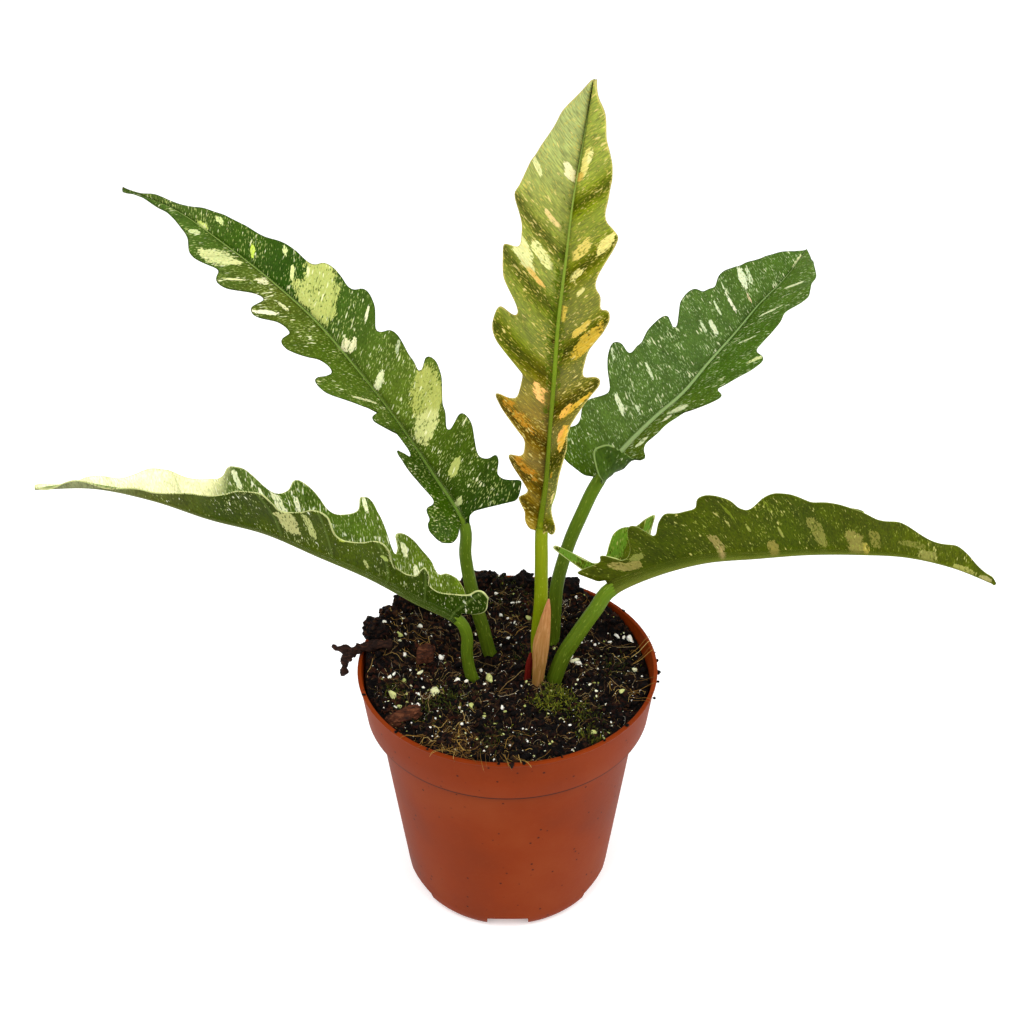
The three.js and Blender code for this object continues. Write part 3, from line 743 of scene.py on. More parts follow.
@dataclass(frozen=True)
class LeafSkin:
    """Variegated leaf: a leathery, faintly waxy blade with cream flecks along its side veins.

    The stops run from the base of the blade to its tip. Flecks show where noise passes a level,
    so a higher level gives fewer of them.
    """

    name: str
    slot: str
    grounds: dict[Side, Stops]
    rib: Stops
    under_rib: str
    fleck: str
    pale: str
    edge: str
    under_edge: str
    vein: str
    patches: dict[Side, tuple[Patch, ...]]
    flecks: float = 0.64
    under_flecks: float = 0.68
    mottle: float = 0.3
    rib_share: float = 0.6
    # Strength of the painted shade in the grooves along the main side veins
    groove_shade: float = 0.15
    # Colour of the painted light on the swells between the main side veins
    ridge: str = "a3a672"
    ridge_light: float = 0.0
    grain: float = 1.3
    rough: float = 0.5
    quilt: float = 0.5

    def material(self) -> Material:
        """Builds the material from what the blade's vertices hold.

        Returns:
            The finish of one blade.
        """
        made, add = new_material(self.name)
        place, gap, ground, sure, patch, under, edge_gap, on_rib, rib = (
            add(Kind.ATTRIBUTE, attribute_name=name, output=output)
            for name, output in (
                ("leaf_place", "Vector"), ("vein_gap", "Fac"), ("ground", "Color"), ("patch", "Alpha"),
                ("patch", "Color"), ("under", "Fac"), ("edge_gap", "Fac"), ("rib", "Alpha"),
                ("rib", "Color"),
            )
        )
        # Size across and along the side veins in millimetres, detail and roughness
        sizes = {
            "cloud": (4, 8, 4, 0.5), "streak": (0.42, self.grain, 2, 0.5),
            "ragged": (1.8, 4, 5, 0.7), "specks": (0.6, 1.5, 1, 0.5), "thin": (6, 8, 1, 0.5),
            "cluster": (9, 12, 2, 0.5), "dash": (0.43, 1.7, 1, 0.5), "long": (0.85, 3.8, 1, 0.5),
            "veins": (0.9, 12, 2, 0.5),
        }
        noise = {
            name: add(Kind.NOISE, add(Kind.STRETCH, place, cells(wide, long, 1)), 1, detail, rough)
            for name, (wide, long, detail, rough) in sizes.items()
        }
        # Green in cloudy tints, mottled in fine streaks
        tint = add(Kind.RANGE, noise["cloud"], 0.3, 0.7, 0.8, 1.2)
        mottle = add(Kind.RANGE, noise["streak"], 0.3, 0.7, 1 - self.mottle, 1 + self.mottle)
        # Painted shade: the blade is darker in the grooves along its main side veins
        painted_groove_shade = add(Kind.RANGE, gap, 0.4, 3.4, 1 - 0.75 * self.groove_shade, 1 + 0.15 * self.groove_shade)
        shade = add(Kind.TIMES, add(Kind.TIMES, tint, mottle), painted_groove_shade)
        # Painted light: the swells between the main side veins are paler, mixed towards the colour ridge
        painted_swell_light = add(Kind.RANGE, gap, 2.0, 6.0, 0, self.ridge_light)
        blade = add(Kind.MIX, painted_swell_light, add(Kind.BRIGHTEN, ground, shade), self.ridge)
        # Patches end raggedly, and green specks show through them
        unsure = add(Kind.TIMES_PLUS, noise["ragged"], 1.2, sure)
        unsure = add(Kind.TIMES_PLUS, noise["streak"], 0.5, unsure)
        thin = add(Kind.RANGE, noise["thin"], 0.4, 0.6, -0.06, 0.06)
        holes = add(Kind.RANGE, add(Kind.PLUS, noise["specks"], thin), 0.34, 0.4, 0.25, 1)
        patched = add(Kind.TIMES, add(Kind.RANGE, unsure, 1.31, 1.39), holes)
        paler = add(Kind.RANGE, noise["streak"], 0.3, 0.7, 0.82, 1.14)
        blade = add(Kind.MIX, patched, blade, add(Kind.BRIGHTEN, patch, paler))
        # Dashes a quarter of a millimetre wide and 1 mm long, in loose clusters
        cluster = add(Kind.RANGE, noise["cluster"], 0.3, 0.7, -0.06, 0.06)
        least = add(Kind.RANGE, under, 0, 1, self.flecks, self.under_flecks)
        above = add(Kind.MINUS, add(Kind.PLUS, noise["dash"], cluster), least)
        blade = add(Kind.MIX, add(Kind.RANGE, above, 0, 0.07, 0, 0.55), blade, self.fleck)
        # Fewer streaks, paler, half a millimetre wide and up to 3 mm long
        apart = add(Kind.MINUS, add(Kind.PLUS, noise["long"], cluster), least)
        blade = add(Kind.MIX, add(Kind.RANGE, apart, 0.06, 0.12, 0, 0.75), blade, self.pale)
        # Side veins: a faint line about 1 mm wide on each main one
        blade = add(Kind.MIX, add(Kind.RANGE, gap, 0.7, 0.15, 0, 0.25), blade, self.vein)
        # Thin margin line
        edge = add(Kind.MIX, under, self.edge, self.under_edge)
        blade = add(Kind.MIX, add(Kind.RANGE, edge_gap, 0.48, 0.2, 0, 0.75), blade, edge)
        # Fine veins sunk in the blade
        height = add(Kind.TIMES_PLUS, noise["veins"], 0.8, noise["cloud"])
        rough = add(Kind.RANGE, noise["cloud"], 0.3, 0.7, self.rough - 0.08, self.rough + 0.1)
        close_material(
            add, add(Kind.MIX, on_rib, blade, rib), rough, height, (0.5, 0.4), IOR=1.42,
            Specular_IOR_Level=0.05, Subsurface_Weight=0.05, Subsurface_Scale=0.001,
        )
        return made


@dataclass(frozen=True)
class StudioFloor:
    """Matt white paper under the plant, lit from below a little so that it stays white."""

    name: str = "white_paper"
    colour: str = "f7f7f7"
    glow: float = 0.27

    def material(self) -> Material:
        """Builds the material.

        Returns:
            The finish of the floor.
        """
        made, add = new_material(self.name)
        skin = add(
            Kind.SKIN, self.colour, 0.9, Specular_IOR_Level=0.0, Emission_Color="ffffff",
            Emission_Strength=self.glow,
        )
        add(Kind.SURFACE, skin)
        return made


# Popped volcanic glass: matt white foam, some grains green with algae
PERLITE = Tinted(
    "expanded_perlite",
    ((0.0, "f2efe4"), (0.45, "e6e2c4"), (0.7, "bcc078"), (1.0, "8e9646")),
    rough=0.8, grain=0.3, depth=0.2, through=0.05,
)
# Dried peat roots: dull threads from near black to grey tan
FIBRE = Tinted(
    "dry_root_fibre",
    ((0.0, "1c120a"), (0.35, "3c2815"), (0.65, "7a5e34"), (0.85, "a08a58"), (1.0, "a39c90")),
    rough=0.6, grain=0.8, depth=0.05,
)
# Dry grass stems: golden, with darker ends
STRAW = Tinted(
    "golden_straw",
    ((0.0, "4c3212"), (0.4, "7e5a24"), (0.75, "a8823a"), (1.0, "c4a866")),
    rough=0.6, grain=0.8, depth=0.05,
)
# Living moss: soft yellow green that glows a little where light passes through
MOSS = Tinted(
    "sheet_moss",
    ((0.0, "141a05"), (0.4, "2e3608"), (0.75, "565c10"), (1.0, "7e8222")),
    rough=0.7, grain=0.5, depth=0.05, through=0.1,
)
# Dull red brown chips with paler layers, then wet and almost black, then tan and dry
BARK = Bark("composted_pine_bark", "1a0c06", "43200f", "74462c")
SCRAP = Bark("wet_root_bark", "0d0604", "26130b", "4a2c1c")
STEM_BARK = Bark("stem_bark", "3a2c1a", "6b5433", "8a7350")
# Mature stalk: smooth mid green, darker at its foot
GREEN_STALK = PlantSkin(
    "green_petiole_skin",
    ((0.0, "40500b"), (0.4, "46590f"), (1.0, "587218")),
    streak="6a801c", dots="8c9c3c",
)
# Young stalk: the same skin in yellow green
LIME_STALK = PlantSkin(
    "lime_petiole_skin",
    ((0.0, "6a7806"), (0.4, "667404"), (0.8, "707e08"), (1.0, "76840c")),
    streak="869012", dots="a0a438",
)
# Papery dry bud sheath: tan with pale fibres, pinkish at its tip
DRY_SHEATH = PlantSkin(
    "dry_cataphyll",
    ((0.0, "7a5628"), (0.35, "8a6430"), (0.75, "9c6c3e"), (1.0, "a2604a")),
    streak="bd8c5c", dots="6e4420", rough=0.6, streaks=0.6, depth=0.14,
)
# Fresh bud sheath: dark red and smooth
RED_SHEATH = PlantSkin(
    "red_cataphyll",
    ((0.0, "300806"), (0.5, "560f0c"), (1.0, "601812")),
    streak="7c2a1c", dots="8c4430", rough=0.4,
)


# Leaves


@dataclass(frozen=True)
class HalfPlan:
    """Shape of one half of a blade.

    fold is how far it lifts from the flat, in degrees, along the blade, and curl adds degrees
    for each 10 mm out. The edge is drawn from the base to the tip, along and out. The side
    veins run slope along for each 1 out.
    """

    fold: Pairs
    edge: Pairs
    slope: float
    curl: Pairs = ((0, 0), (1, 0))

    def margin(self, length: float, base_out: float) -> Array:
        """Draws the margin from the base to the tip.

        Args:
            length: length of the midrib.
            base_out: distance from the midrib at the base.

        Returns:
            Points along and out.
        """
        drawn = np.array([(0, base_out), *self.edge, (length, RIB_TIP + RIB_MARGIN)], float)
        run = run_along(drawn)
        target = np.linspace(0, run[-1], math.ceil(run[-1] / MARGIN_STEP) + 1)
        drawn = read_rows(target, run, drawn)
        for _ in range(MARGIN_SOFTENING):
            drawn[1:-1] = (drawn[:-2] + 2 * drawn[1:-1] + drawn[2:]) / 4
        return drawn

    def vein_starts(self, points: Array) -> Array:
        """Finds where the side vein that ends at each margin point leaves the midrib.

        Args:
            points: the margin, along and out.

        Returns:
            Places on the midrib, each past the one before.
        """
        free = points[:, 0] - self.slope * points[:, 1]
        crowded = BASE_RUN * np.exp((np.minimum(free, BASE_RUN) - BASE_RUN) / CROWD)
        starts = np.where(free > BASE_RUN, free, crowded)
        starts[0] = 0
        for i in range(1, len(starts)):
            starts[i] = max(starts[i], starts[i - 1] + VEIN_CREEP)
        starts[-1] = points[-1, 0]
        return starts


@dataclass(frozen=True)
class LeafPlan:
    """Shape of a leaf, from the foot of its stalk to the tip of its blade."""

    name: str
    spine: tuple[Point, ...]
    blade_from: int
    stalk: tuple[float, float]
    face: tuple[Point, Point]
    wave: Point
    left: HalfPlan
    right: HalfPlan


# Margin: step of its points, and how often it is softened
MARGIN_STEP = 1.1
MARGIN_SOFTENING = 2

# Midrib: radius and distance of the blade's edge at its tip, power of its taper, where the
# blade joins it and how high it stands as shares of its radius, and how its ridge is rounded
RIB_TIP = 0.2
RIB_MARGIN = 0.35
RIB_TAPER = 0.7
RIB_SIDE = 0.85
RIB_SEAT = 0.45
RIB_TOP = 0.55
RIB_ROUND = 0.75
RIB_STRENGTH = (0.75, 0.6)

# Mesh of a blade: rows over the midrib and over each half, power that draws the rows of a half
# to its margin, and the least gap between columns near the base and elsewhere
RIB_ROWS = 9
HALF_ROWS = 13
ROW_POWER = 0.92
BASE_GAP = 0.006
STATION_GAP = 0.05
SPINE_STEPS = 24

# Side veins: power of their bend, least step between their starts, length of the base where
# they crowd and how fast, points on each, and the ridge that one makes
VEIN_BEND = 1.2
VEIN_CREEP = 0.015
BASE_RUN = 6.0
CROWD = 9.0
VEIN_POINTS = 40
VEIN_HIGH = 0.3
VEIN_WIDE = 0.8
VEIN_FADE = 0.8
VEIN_SUNK = 0.35

# Lobes: margin points on each side that their tip stands out from, and by how much
LOBE_NEAR = 4
LOBE_FAR = 9
LOBE_RISE = 2

# Blade: least width of a half, half thickness at the midrib and the margin, distance from a
# vein to the swell beside it, and how far apart the patterns of both halves are read
LEAST_WIDTH = 0.4
BLADE_HALF = 0.36
MARGIN_HALF = 0.16
QUILT_WIDE = 4.5
HALF_SHIFT = 400

LEAVES = (
    LeafPlan(
        name="upper_left",
        spine=(
            (1, 7, 84), (-1, 8, 92), (-7, 10, 104), (-10, 11, 117), (-14, 13, 133), (-16.5, 14, 150),
            (-17, 14, 166), (-29, 20, 185), (-42, 26, 204), (-56, 32, 222), (-71, 40, 238), (-88, 47, 252),
            (-106, 56, 263), (-125, 65, 273), (-146, 74, 278),
        ),
        blade_from=6, stalk=(3, 2.3),
        face=((-0.25, -0.55, 0.8), (-0.1, -0.45, 0.9)), wave=(1.2, 19, 0.4),
        left=HalfPlan(
            fold=((0, 55), (0.1, 58), (0.2, 70), (0.32, 68), (0.5, 35), (1, 22)),
            slope=0.6,
            edge=(
                (-2.8, 5.2), (-3.4, 9.2), (-1, 13.2), (3.9, 19), (8.4, 22.4), (11.3, 21.7), (11.2, 18.4),
                (14.4, 18.4), (15.6, 17.8), (15.9, 16.6), (14.7, 11.7), (15.2, 9.5), (18.4, 10.1),
                (25.4, 13), (37.5, 20.5), (40.5, 20.8), (41.2, 20.1), (40.9, 18.4), (36, 13.6),
                (34.7, 10.1), (34.6, 7.9), (35.3, 7.3), (44, 8.1), (46, 9.3), (50.5, 16.5), (55.5, 23.2),
                (57, 22.4), (56.6, 17), (55.8, 12.4), (56.8, 12.2), (59.9, 19.5), (70.6, 29), (72.4, 29.7),
                (76.3, 28.2), (77.7, 26.3), (77.8, 24.1), (76.4, 20.3), (76, 15.7), (76.5, 14.1),
                (78.2, 12.8), (80.3, 12.8), (83.1, 13.9), (85.2, 16.6), (88.5, 19.2), (91.4, 20.7),
                (95.8, 21.9), (97.8, 21.4), (98.8, 19.8), (98.2, 13.6), (101.4, 13.2), (104.7, 14.5),
                (110, 20), (112.5, 21.2), (114.5, 19), (113.8, 10.8), (114.2, 9.5), (115.4, 9.1),
                (118.3, 10.8), (125.1, 18.5), (128.4, 19.6), (129.9, 18.7), (131.7, 14.3), (132.8, 13.2),
                (135, 13), (142.4, 15.6), (145.3, 15.4), (150.6, 9.3), (153.5, 7.1), (162.3, 4.7),
                (167, 2.4), (175, 1.6),
            ),
        ),
        right=HalfPlan(
            fold=((0, 15), (1, 15)),
            slope=0.6,
            edge=(
                (2.6, 3.5), (3.5, 8.2), (2.5, 13.8), (1.9, 24.3), (5.3, 28.9), (7.1, 23.2), (8.3, 21.5),
                (10, 20.8), (13.5, 24.6), (16, 25.2), (16.6, 24.8), (15.9, 22.6), (16.3, 20.8),
                (18.5, 18.8), (22.4, 19.8), (31.2, 23.5), (34.2, 23.8), (37, 23.1), (37.2, 21.6),
                (33.8, 15.7), (33.7, 14.3), (34.2, 13.9), (40.5, 18), (42.7, 18.1), (51.5, 24),
                (56.9, 25.8), (59.3, 25.4), (60.5, 24.4), (60.2, 23.2), (57, 19.3), (56.9, 18.5),
                (57.8, 18.1), (61.3, 19.3), (64.3, 18.9), (71.8, 20.2), (74.4, 20.1), (76.3, 19.2),
                (76.5, 16.8), (78.6, 14.7), (85.2, 20.4), (89.6, 21.8), (91.6, 21.8), (92.9, 21.1),
                (93.5, 18.8), (96.1, 17.9), (99.8, 19), (103.9, 19.1), (107.4, 18), (108.3, 17.3),
                (108.8, 15.6), (110.7, 14.7), (117.6, 14.9), (140.3, 9.6), (148.3, 9.5), (157.9, 4.4),
                (164, 3.6), (170, 2.2), (178, 1.5),
            ),
        ),
    ),
    LeafPlan(
        name="lower_left",
        spine=(
            (-5, 0, 84), (-8, -2, 92), (-14, -5, 104), (-16, -4, 115), (-16, -4, 125), (-20, -5, 134),
            (-35, -5, 143), (-52, -6, 155), (-71, -6, 165), (-90, -6, 175), (-110, -7, 182),
            (-130, -7, 190), (-151, -7, 195), (-172, -8, 195),
        ),
        blade_from=5, stalk=(2.6, 2.3),
        face=((0, 0.1, 1), (0, 0.1, 1)), wave=(1.2, 21, 1.5),
        left=HalfPlan(
            fold=((0, 62), (1, 62)),
            slope=0.6,
            edge=(
                (-2.7, 3.6), (-5, 8.5), (-4.2, 12), (-2, 14.5), (0.5, 18.2), (2, 20.5), (3, 19),
                (3.4, 13.5), (5.4, 11.4), (9.4, 8.5), (12, 8), (19.9, 12.4), (21.5, 16.1), (26.7, 20.6),
                (26.8, 18.1), (25.4, 11.5), (28.1, 7.7), (28.9, 7.4), (34.7, 10), (40.2, 18.9),
                (42.9, 21.7), (44.9, 22.2), (46.6, 21.8), (50.9, 13.8), (52.5, 12.3), (54.1, 11.7),
                (57.5, 13.3), (60.3, 16.3), (65.5, 23.9), (69.5, 26.3), (72.1, 25.2), (74.5, 17.5),
                (76.8, 14.8), (79, 14.5), (80.8, 15.1), (86.8, 22.6), (89, 23.8), (91.3, 23.6),
                (93.3, 22.4), (98.4, 15.7), (107.2, 14.7), (113, 8.2), (115.4, 7.4), (122.8, 6.6),
                (129, 2.4), (135, 1.7), (143, 2.4), (152, 2.4), (161, 1.4),
            ),
        ),
        right=HalfPlan(
            fold=((0, 55), (1, 50)),
            slope=0.6,
            edge=(
                (0.2, 7.2), (1.5, 9.9), (5.7, 13.3), (11.2, 14), (11.5, 12.5), (13.4, 12.4), (18.2, 16.4),
                (21.6, 17.1), (24.5, 16.8), (33.7, 19.4), (35.7, 19.3), (36.3, 18.5), (32.4, 13.5),
                (31.9, 11.6), (32.9, 11.4), (38.3, 16.8), (43, 22.7), (45.2, 23.8), (47.1, 25.9),
                (49.5, 26.6), (51.3, 26.3), (51.6, 24.7), (53.6, 25.1), (51.6, 19.7), (53.2, 18.2),
                (59.5, 17), (64.3, 16.9), (77.5, 22.3), (78.8, 21.6), (78.2, 18.4), (81.3, 15.6),
                (83.9, 14.9), (86.9, 15.8), (94.5, 19.9), (100.9, 21.2), (102, 20.1), (101.4, 18.2),
                (104.3, 14.7), (109.6, 11.3), (113.8, 11.3), (121.5, 13.2), (131.4, 7.7), (137.7, 5.8),
                (146, 3.2), (152, 2.6), (160, 1.6),
            ),
        ),
    ),
    LeafPlan(
        name="middle",
        spine=(
            (5, -2, 84), (8, -2, 92), (12, -2, 106), (12, -2, 123), (13, -2, 140), (13, -2, 157),
            (13, -2, 175), (15, -2, 196), (16, -2, 217), (17, -1, 238), (18, -1, 259), (20, 0, 280),
            (22, 1, 301), (25, 2, 322), (28, 3, 342),
        ),
        blade_from=6, stalk=(2.9, 2.5),
        face=((-0.15, -1, 0.1), (-0.3, -1, 0.25)), wave=(1.6, 18, 0.8),
        left=HalfPlan(
            fold=((0, 22), (1, 22)),
            slope=1,
            edge=(
                (-0.1, 3.7), (1.7, 5.6), (4.7, 6.8), (7.7, 6.7), (14.4, 10.3), (15.7, 9.8), (15.5, 6.9),
                (16.5, 6.6), (27.2, 13.9), (31.1, 15.5), (32.7, 15.6), (33.6, 14.5), (33, 10.2),
                (33.4, 9.3), (37.9, 9.4), (43.1, 12.7), (50.4, 18.7), (55.1, 20.9), (57.1, 21.3),
                (58, 20.9), (58.2, 19.9), (56.3, 16), (55.7, 12.8), (64.2, 11.7), (68.1, 13.8),
                (78.4, 21.1), (82.2, 22.7), (84.9, 23), (88.4, 22.4), (89.7, 21.3), (86, 16), (86.3, 15),
                (87.9, 14.2), (91.4, 15.3), (100.1, 20.6), (104.5, 21.7), (109.2, 22.3), (112.3, 21.9),
                (112.2, 19.1), (111.2, 16.3), (112.3, 15.6), (118.4, 16.4), (126.6, 19.8), (129.2, 19.9),
                (131.3, 18.2), (139.2, 16.5), (141.6, 14.7), (157.7, 7.9),
            ),
        ),
        right=HalfPlan(
            fold=((0, 60), (0.25, 58), (0.4, 30), (1, 22)),
            slope=1,
            edge=(
                (2.8, 6.1), (3.2, 9.5), (6.4, 12.1), (8.7, 12), (10.5, 6.3), (12, 5.6), (17.7, 7.6),
                (29.9, 9.9), (41.9, 14.1), (46.2, 12.2), (50, 12.3), (66.8, 19.9), (70.5, 20.2),
                (71.3, 19.7), (71.1, 17.7), (68.5, 13.2), (68.7, 12), (75, 12.9), (78.6, 14), (87.3, 19.2),
                (93.2, 21.6), (95.4, 21.2), (95.9, 20.5), (95.8, 19.2), (94.2, 17.1), (94.4, 16.3),
                (99.4, 16), (101.6, 14.1), (103.4, 13.4), (106.9, 14.2), (116.4, 18.7), (120.4, 19.9),
                (121.8, 19.7), (122.9, 19.1), (123, 17.9), (123.6, 18.5), (124.1, 18.2), (125.4, 13.9),
                (126.9, 13), (140.3, 14.2), (144, 12.6), (145.4, 11.2), (154.3, 8.2),
            ),
        ),
    ),
    LeafPlan(
        name="upper_right",
        spine=(
            (9, 8, 84), (12, 11, 92), (18, 17, 104), (19, 17, 119), (20, 18, 134), (24, 22, 149),
            (29, 26, 161), (36, 33, 173), (47, 43, 182), (59, 54, 189), (71, 64, 195), (82, 75, 203),
            (93, 85, 211), (104, 95, 220), (113, 103.5, 225), (120, 112, 229), (126, 122, 232),
        ),
        blade_from=7, stalk=(2.9, 2.6),
        face=((-0.1, -0.5, 0.85), (-0.1, -0.5, 0.85)), wave=(1, 20, 0),
        left=HalfPlan(
            fold=((0, 20), (0.8, 20), (1, 26)),
            slope=0.4,
            edge=(
                (-1.5, 5.2), (-0.8, 14.8), (0.9, 18.5), (3.3, 21.3), (6.1, 22.7), (8.1, 22.5), (10.5, 20),
                (11.3, 20), (13.5, 20.5), (16.5, 22.8), (19.9, 23.8), (22.9, 23.2), (29.5, 20.2),
                (31.3, 21.8), (37.9, 31), (41.1, 33.4), (43.3, 34), (47.1, 31.9), (45.8, 28.2),
                (45.8, 27.2), (46.7, 26.7), (53, 27), (56.9, 25.9), (64.3, 27.8), (69.1, 27.9),
                (71.8, 27.1), (73, 26.3), (73.4, 25), (70.8, 21.4), (70.7, 20), (71.3, 19.4), (72.6, 19.7),
                (81, 25.3), (86.1, 26.3), (89.4, 26.1), (91.7, 24.6), (91.9, 20.9), (94.5, 20), (96.5, 18),
                (101.4, 20.6), (104.6, 20.7), (109.4, 17.8), (109.9, 16.5), (111.1, 16.8), (114.8, 14.8),
                (123.9, 12.8), (132, 6.3), (138.7, 3.3),
            ),
        ),
        right=HalfPlan(
            fold=((0, 22), (0.035, 10), (0.06, -10), (0.075, 0), (0.092, 38), (0.8, 38), (1, 25)),
            curl=((0, 45), (0.035, 50), (0.06, 52), (0.075, 40), (0.092, 0), (1, 0)),
            slope=0.8,
            edge=(
                (-1.3, 3), (-0.5, 8), (0, 12.3), (1.1, 14.1), (2.7, 16.4), (3.8, 17.5), (4.8, 17.7),
                (6.2, 18), (8.3, 18.8), (9, 18.5), (9, 16.6), (10.3, 15.6), (11.5, 12.9), (12.8, 13),
                (13.8, 17), (15, 16.2), (18.6, 10.8), (21.3, 8.3), (27.4, 10.6), (36.1, 10.2), (41.9, 11),
                (44.3, 12.4), (45.4, 15), (53.2, 22.7), (54.3, 22.3), (54.9, 18.6), (56.4, 16.9),
                (58.1, 19.4), (67.8, 26.4), (75.4, 28.3), (77.4, 27.1), (78.2, 22), (80.2, 20), (86, 18.9),
                (96.3, 20.7), (101, 18.1), (104.9, 21.1), (107, 22.1), (111.3, 22.5), (112.7, 21),
                (116.9, 17.3), (123.9, 14.6), (128.7, 9.4), (137.3, 4.1),
            ),
        ),
    ),
    LeafPlan(
        name="lower_right",
        spine=(
            (13, -4, 84), (15, -5, 92), (18.5, -6, 104), (22, -6, 116), (28, -6, 128), (34, -6, 139),
            (40, -5, 148), (56, -3, 155), (75, -2, 160), (95, -1, 161), (115, 1, 161), (135, 2, 160),
            (154, 4, 157), (173, 5, 151), (191, 6, 142),
        ),
        blade_from=6, stalk=(3.3, 2.9),
        face=((0, 0.64, 0.77), (0, 0.64, 0.77)), wave=(1, 23, 0),
        left=HalfPlan(
            fold=((0, 80), (0.15, 78), (0.3, 60), (0.7, 60), (1, 50)),
            slope=0.4,
            edge=(
                (-2, 5.5), (-6.5, 12), (-10, 20), (-13.1, 27.5), (-11.3, 27.8), (-7, 21), (-3.5, 14.5),
                (-0.5, 11), (2, 10.5), (4, 12), (5.1, 14.2), (8.5, 18.7), (11.9, 19.3), (14.5, 17.7),
                (16.4, 16.7), (20.1, 19.2), (24.2, 21.1), (22.3, 17), (19.5, 13.3), (19.7, 11.5),
                (22, 10.5), (27, 12.5), (33, 17), (38, 19), (40, 18), (40.5, 14), (43, 12), (50, 14.5),
                (58, 17), (63, 16.5), (65, 14), (66, 12.5), (74, 16), (84, 19), (91, 20), (97.5, 22.1),
                (101, 21.5), (103.9, 18.9), (101.9, 16.5), (103, 14), (103, 14), (104.5, 11), (112, 8.5),
                (122, 6.5), (134, 5), (146, 3),
            ),
        ),
        right=HalfPlan(
            fold=((0, 45), (1, 45)),
            slope=-0.5,
            edge=(
                (-2.1, 2.9), (-7, 12.6), (1.2, 11.4), (2.6, 12.8), (2.7, 15.8), (3.4, 16.4), (7.2, 10.4),
                (9.7, 9.5), (12.2, 12), (13.4, 19.8), (14.6, 22.2), (15.4, 22.4), (17.7, 20.6),
                (20.7, 14.6), (22.2, 14.1), (24.3, 21.9), (26.6, 25.2), (27.2, 25.4), (30.6, 23),
                (36.4, 22.2), (36.7, 27.2), (38.5, 29.6), (39.9, 30.1), (42.7, 29.4), (45.9, 27.5),
                (48.4, 23.9), (51.8, 21.8), (53.9, 22.5), (61.7, 28.7), (66.1, 29.4), (69.3, 28),
                (75.3, 23.8), (83.8, 21.6), (92.6, 20.8), (95.3, 19.7), (99.5, 17), (103.8, 15.2),
                (108.7, 14.2), (112.6, 12.5), (116.6, 11), (121.3, 10.2), (128.1, 9.2), (133, 8.8),
                (137.9, 6.8), (143.3, 5), (149.2, 4), (153.5, 3.2),
            ),
        ),
    ),
)


class Spine:
    """Line through a leaf's stalk and midrib, with the way that its upper side faces."""

    def __init__(self, plan: LeafPlan) -> None:
        """Draws the line and measures it.

        Args:
            plan: shape of the leaf.
        """
        self.points = smooth_curve(np.array(plan.spine, float), SPINE_STEPS)
        self.along = run_along(self.points)
        first = plan.blade_from * SPINE_STEPS
        self.start = self.along[first]
        self.length = self.along[-1] - self.start
        self.tangents = unit(np.gradient(self.points, axis=0))
        self.normals = np.zeros_like(self.points)
        base, tip = np.array(plan.face, float)
        for i in range(first, len(self.points)):
            share = (self.along[i] - self.start) / self.length
            self.normals[i] = square(base + (tip - base) * share, self.tangents[i])
        for i in range(first - 1, -1, -1):
            self.normals[i] = square(self.normals[i + 1], self.tangents[i])

    def at(self, length: Array) -> tuple[Array, Array, Array, Array]:
        """Reads the line at lengths measured from the start of the blade.

        Args:
            length: lengths in millimetres, negative down the stalk.

        Returns:
            Place, tangent, upper side and right hand side at each length.
        """
        place, tangent, normal = (
            read_rows(length + self.start, self.along, rows)
            for rows in (self.points, self.tangents, self.normals)
        )
        tangent = unit(tangent)
        normal = square(normal, tangent)
        return place, tangent, normal, np.cross(tangent, normal)


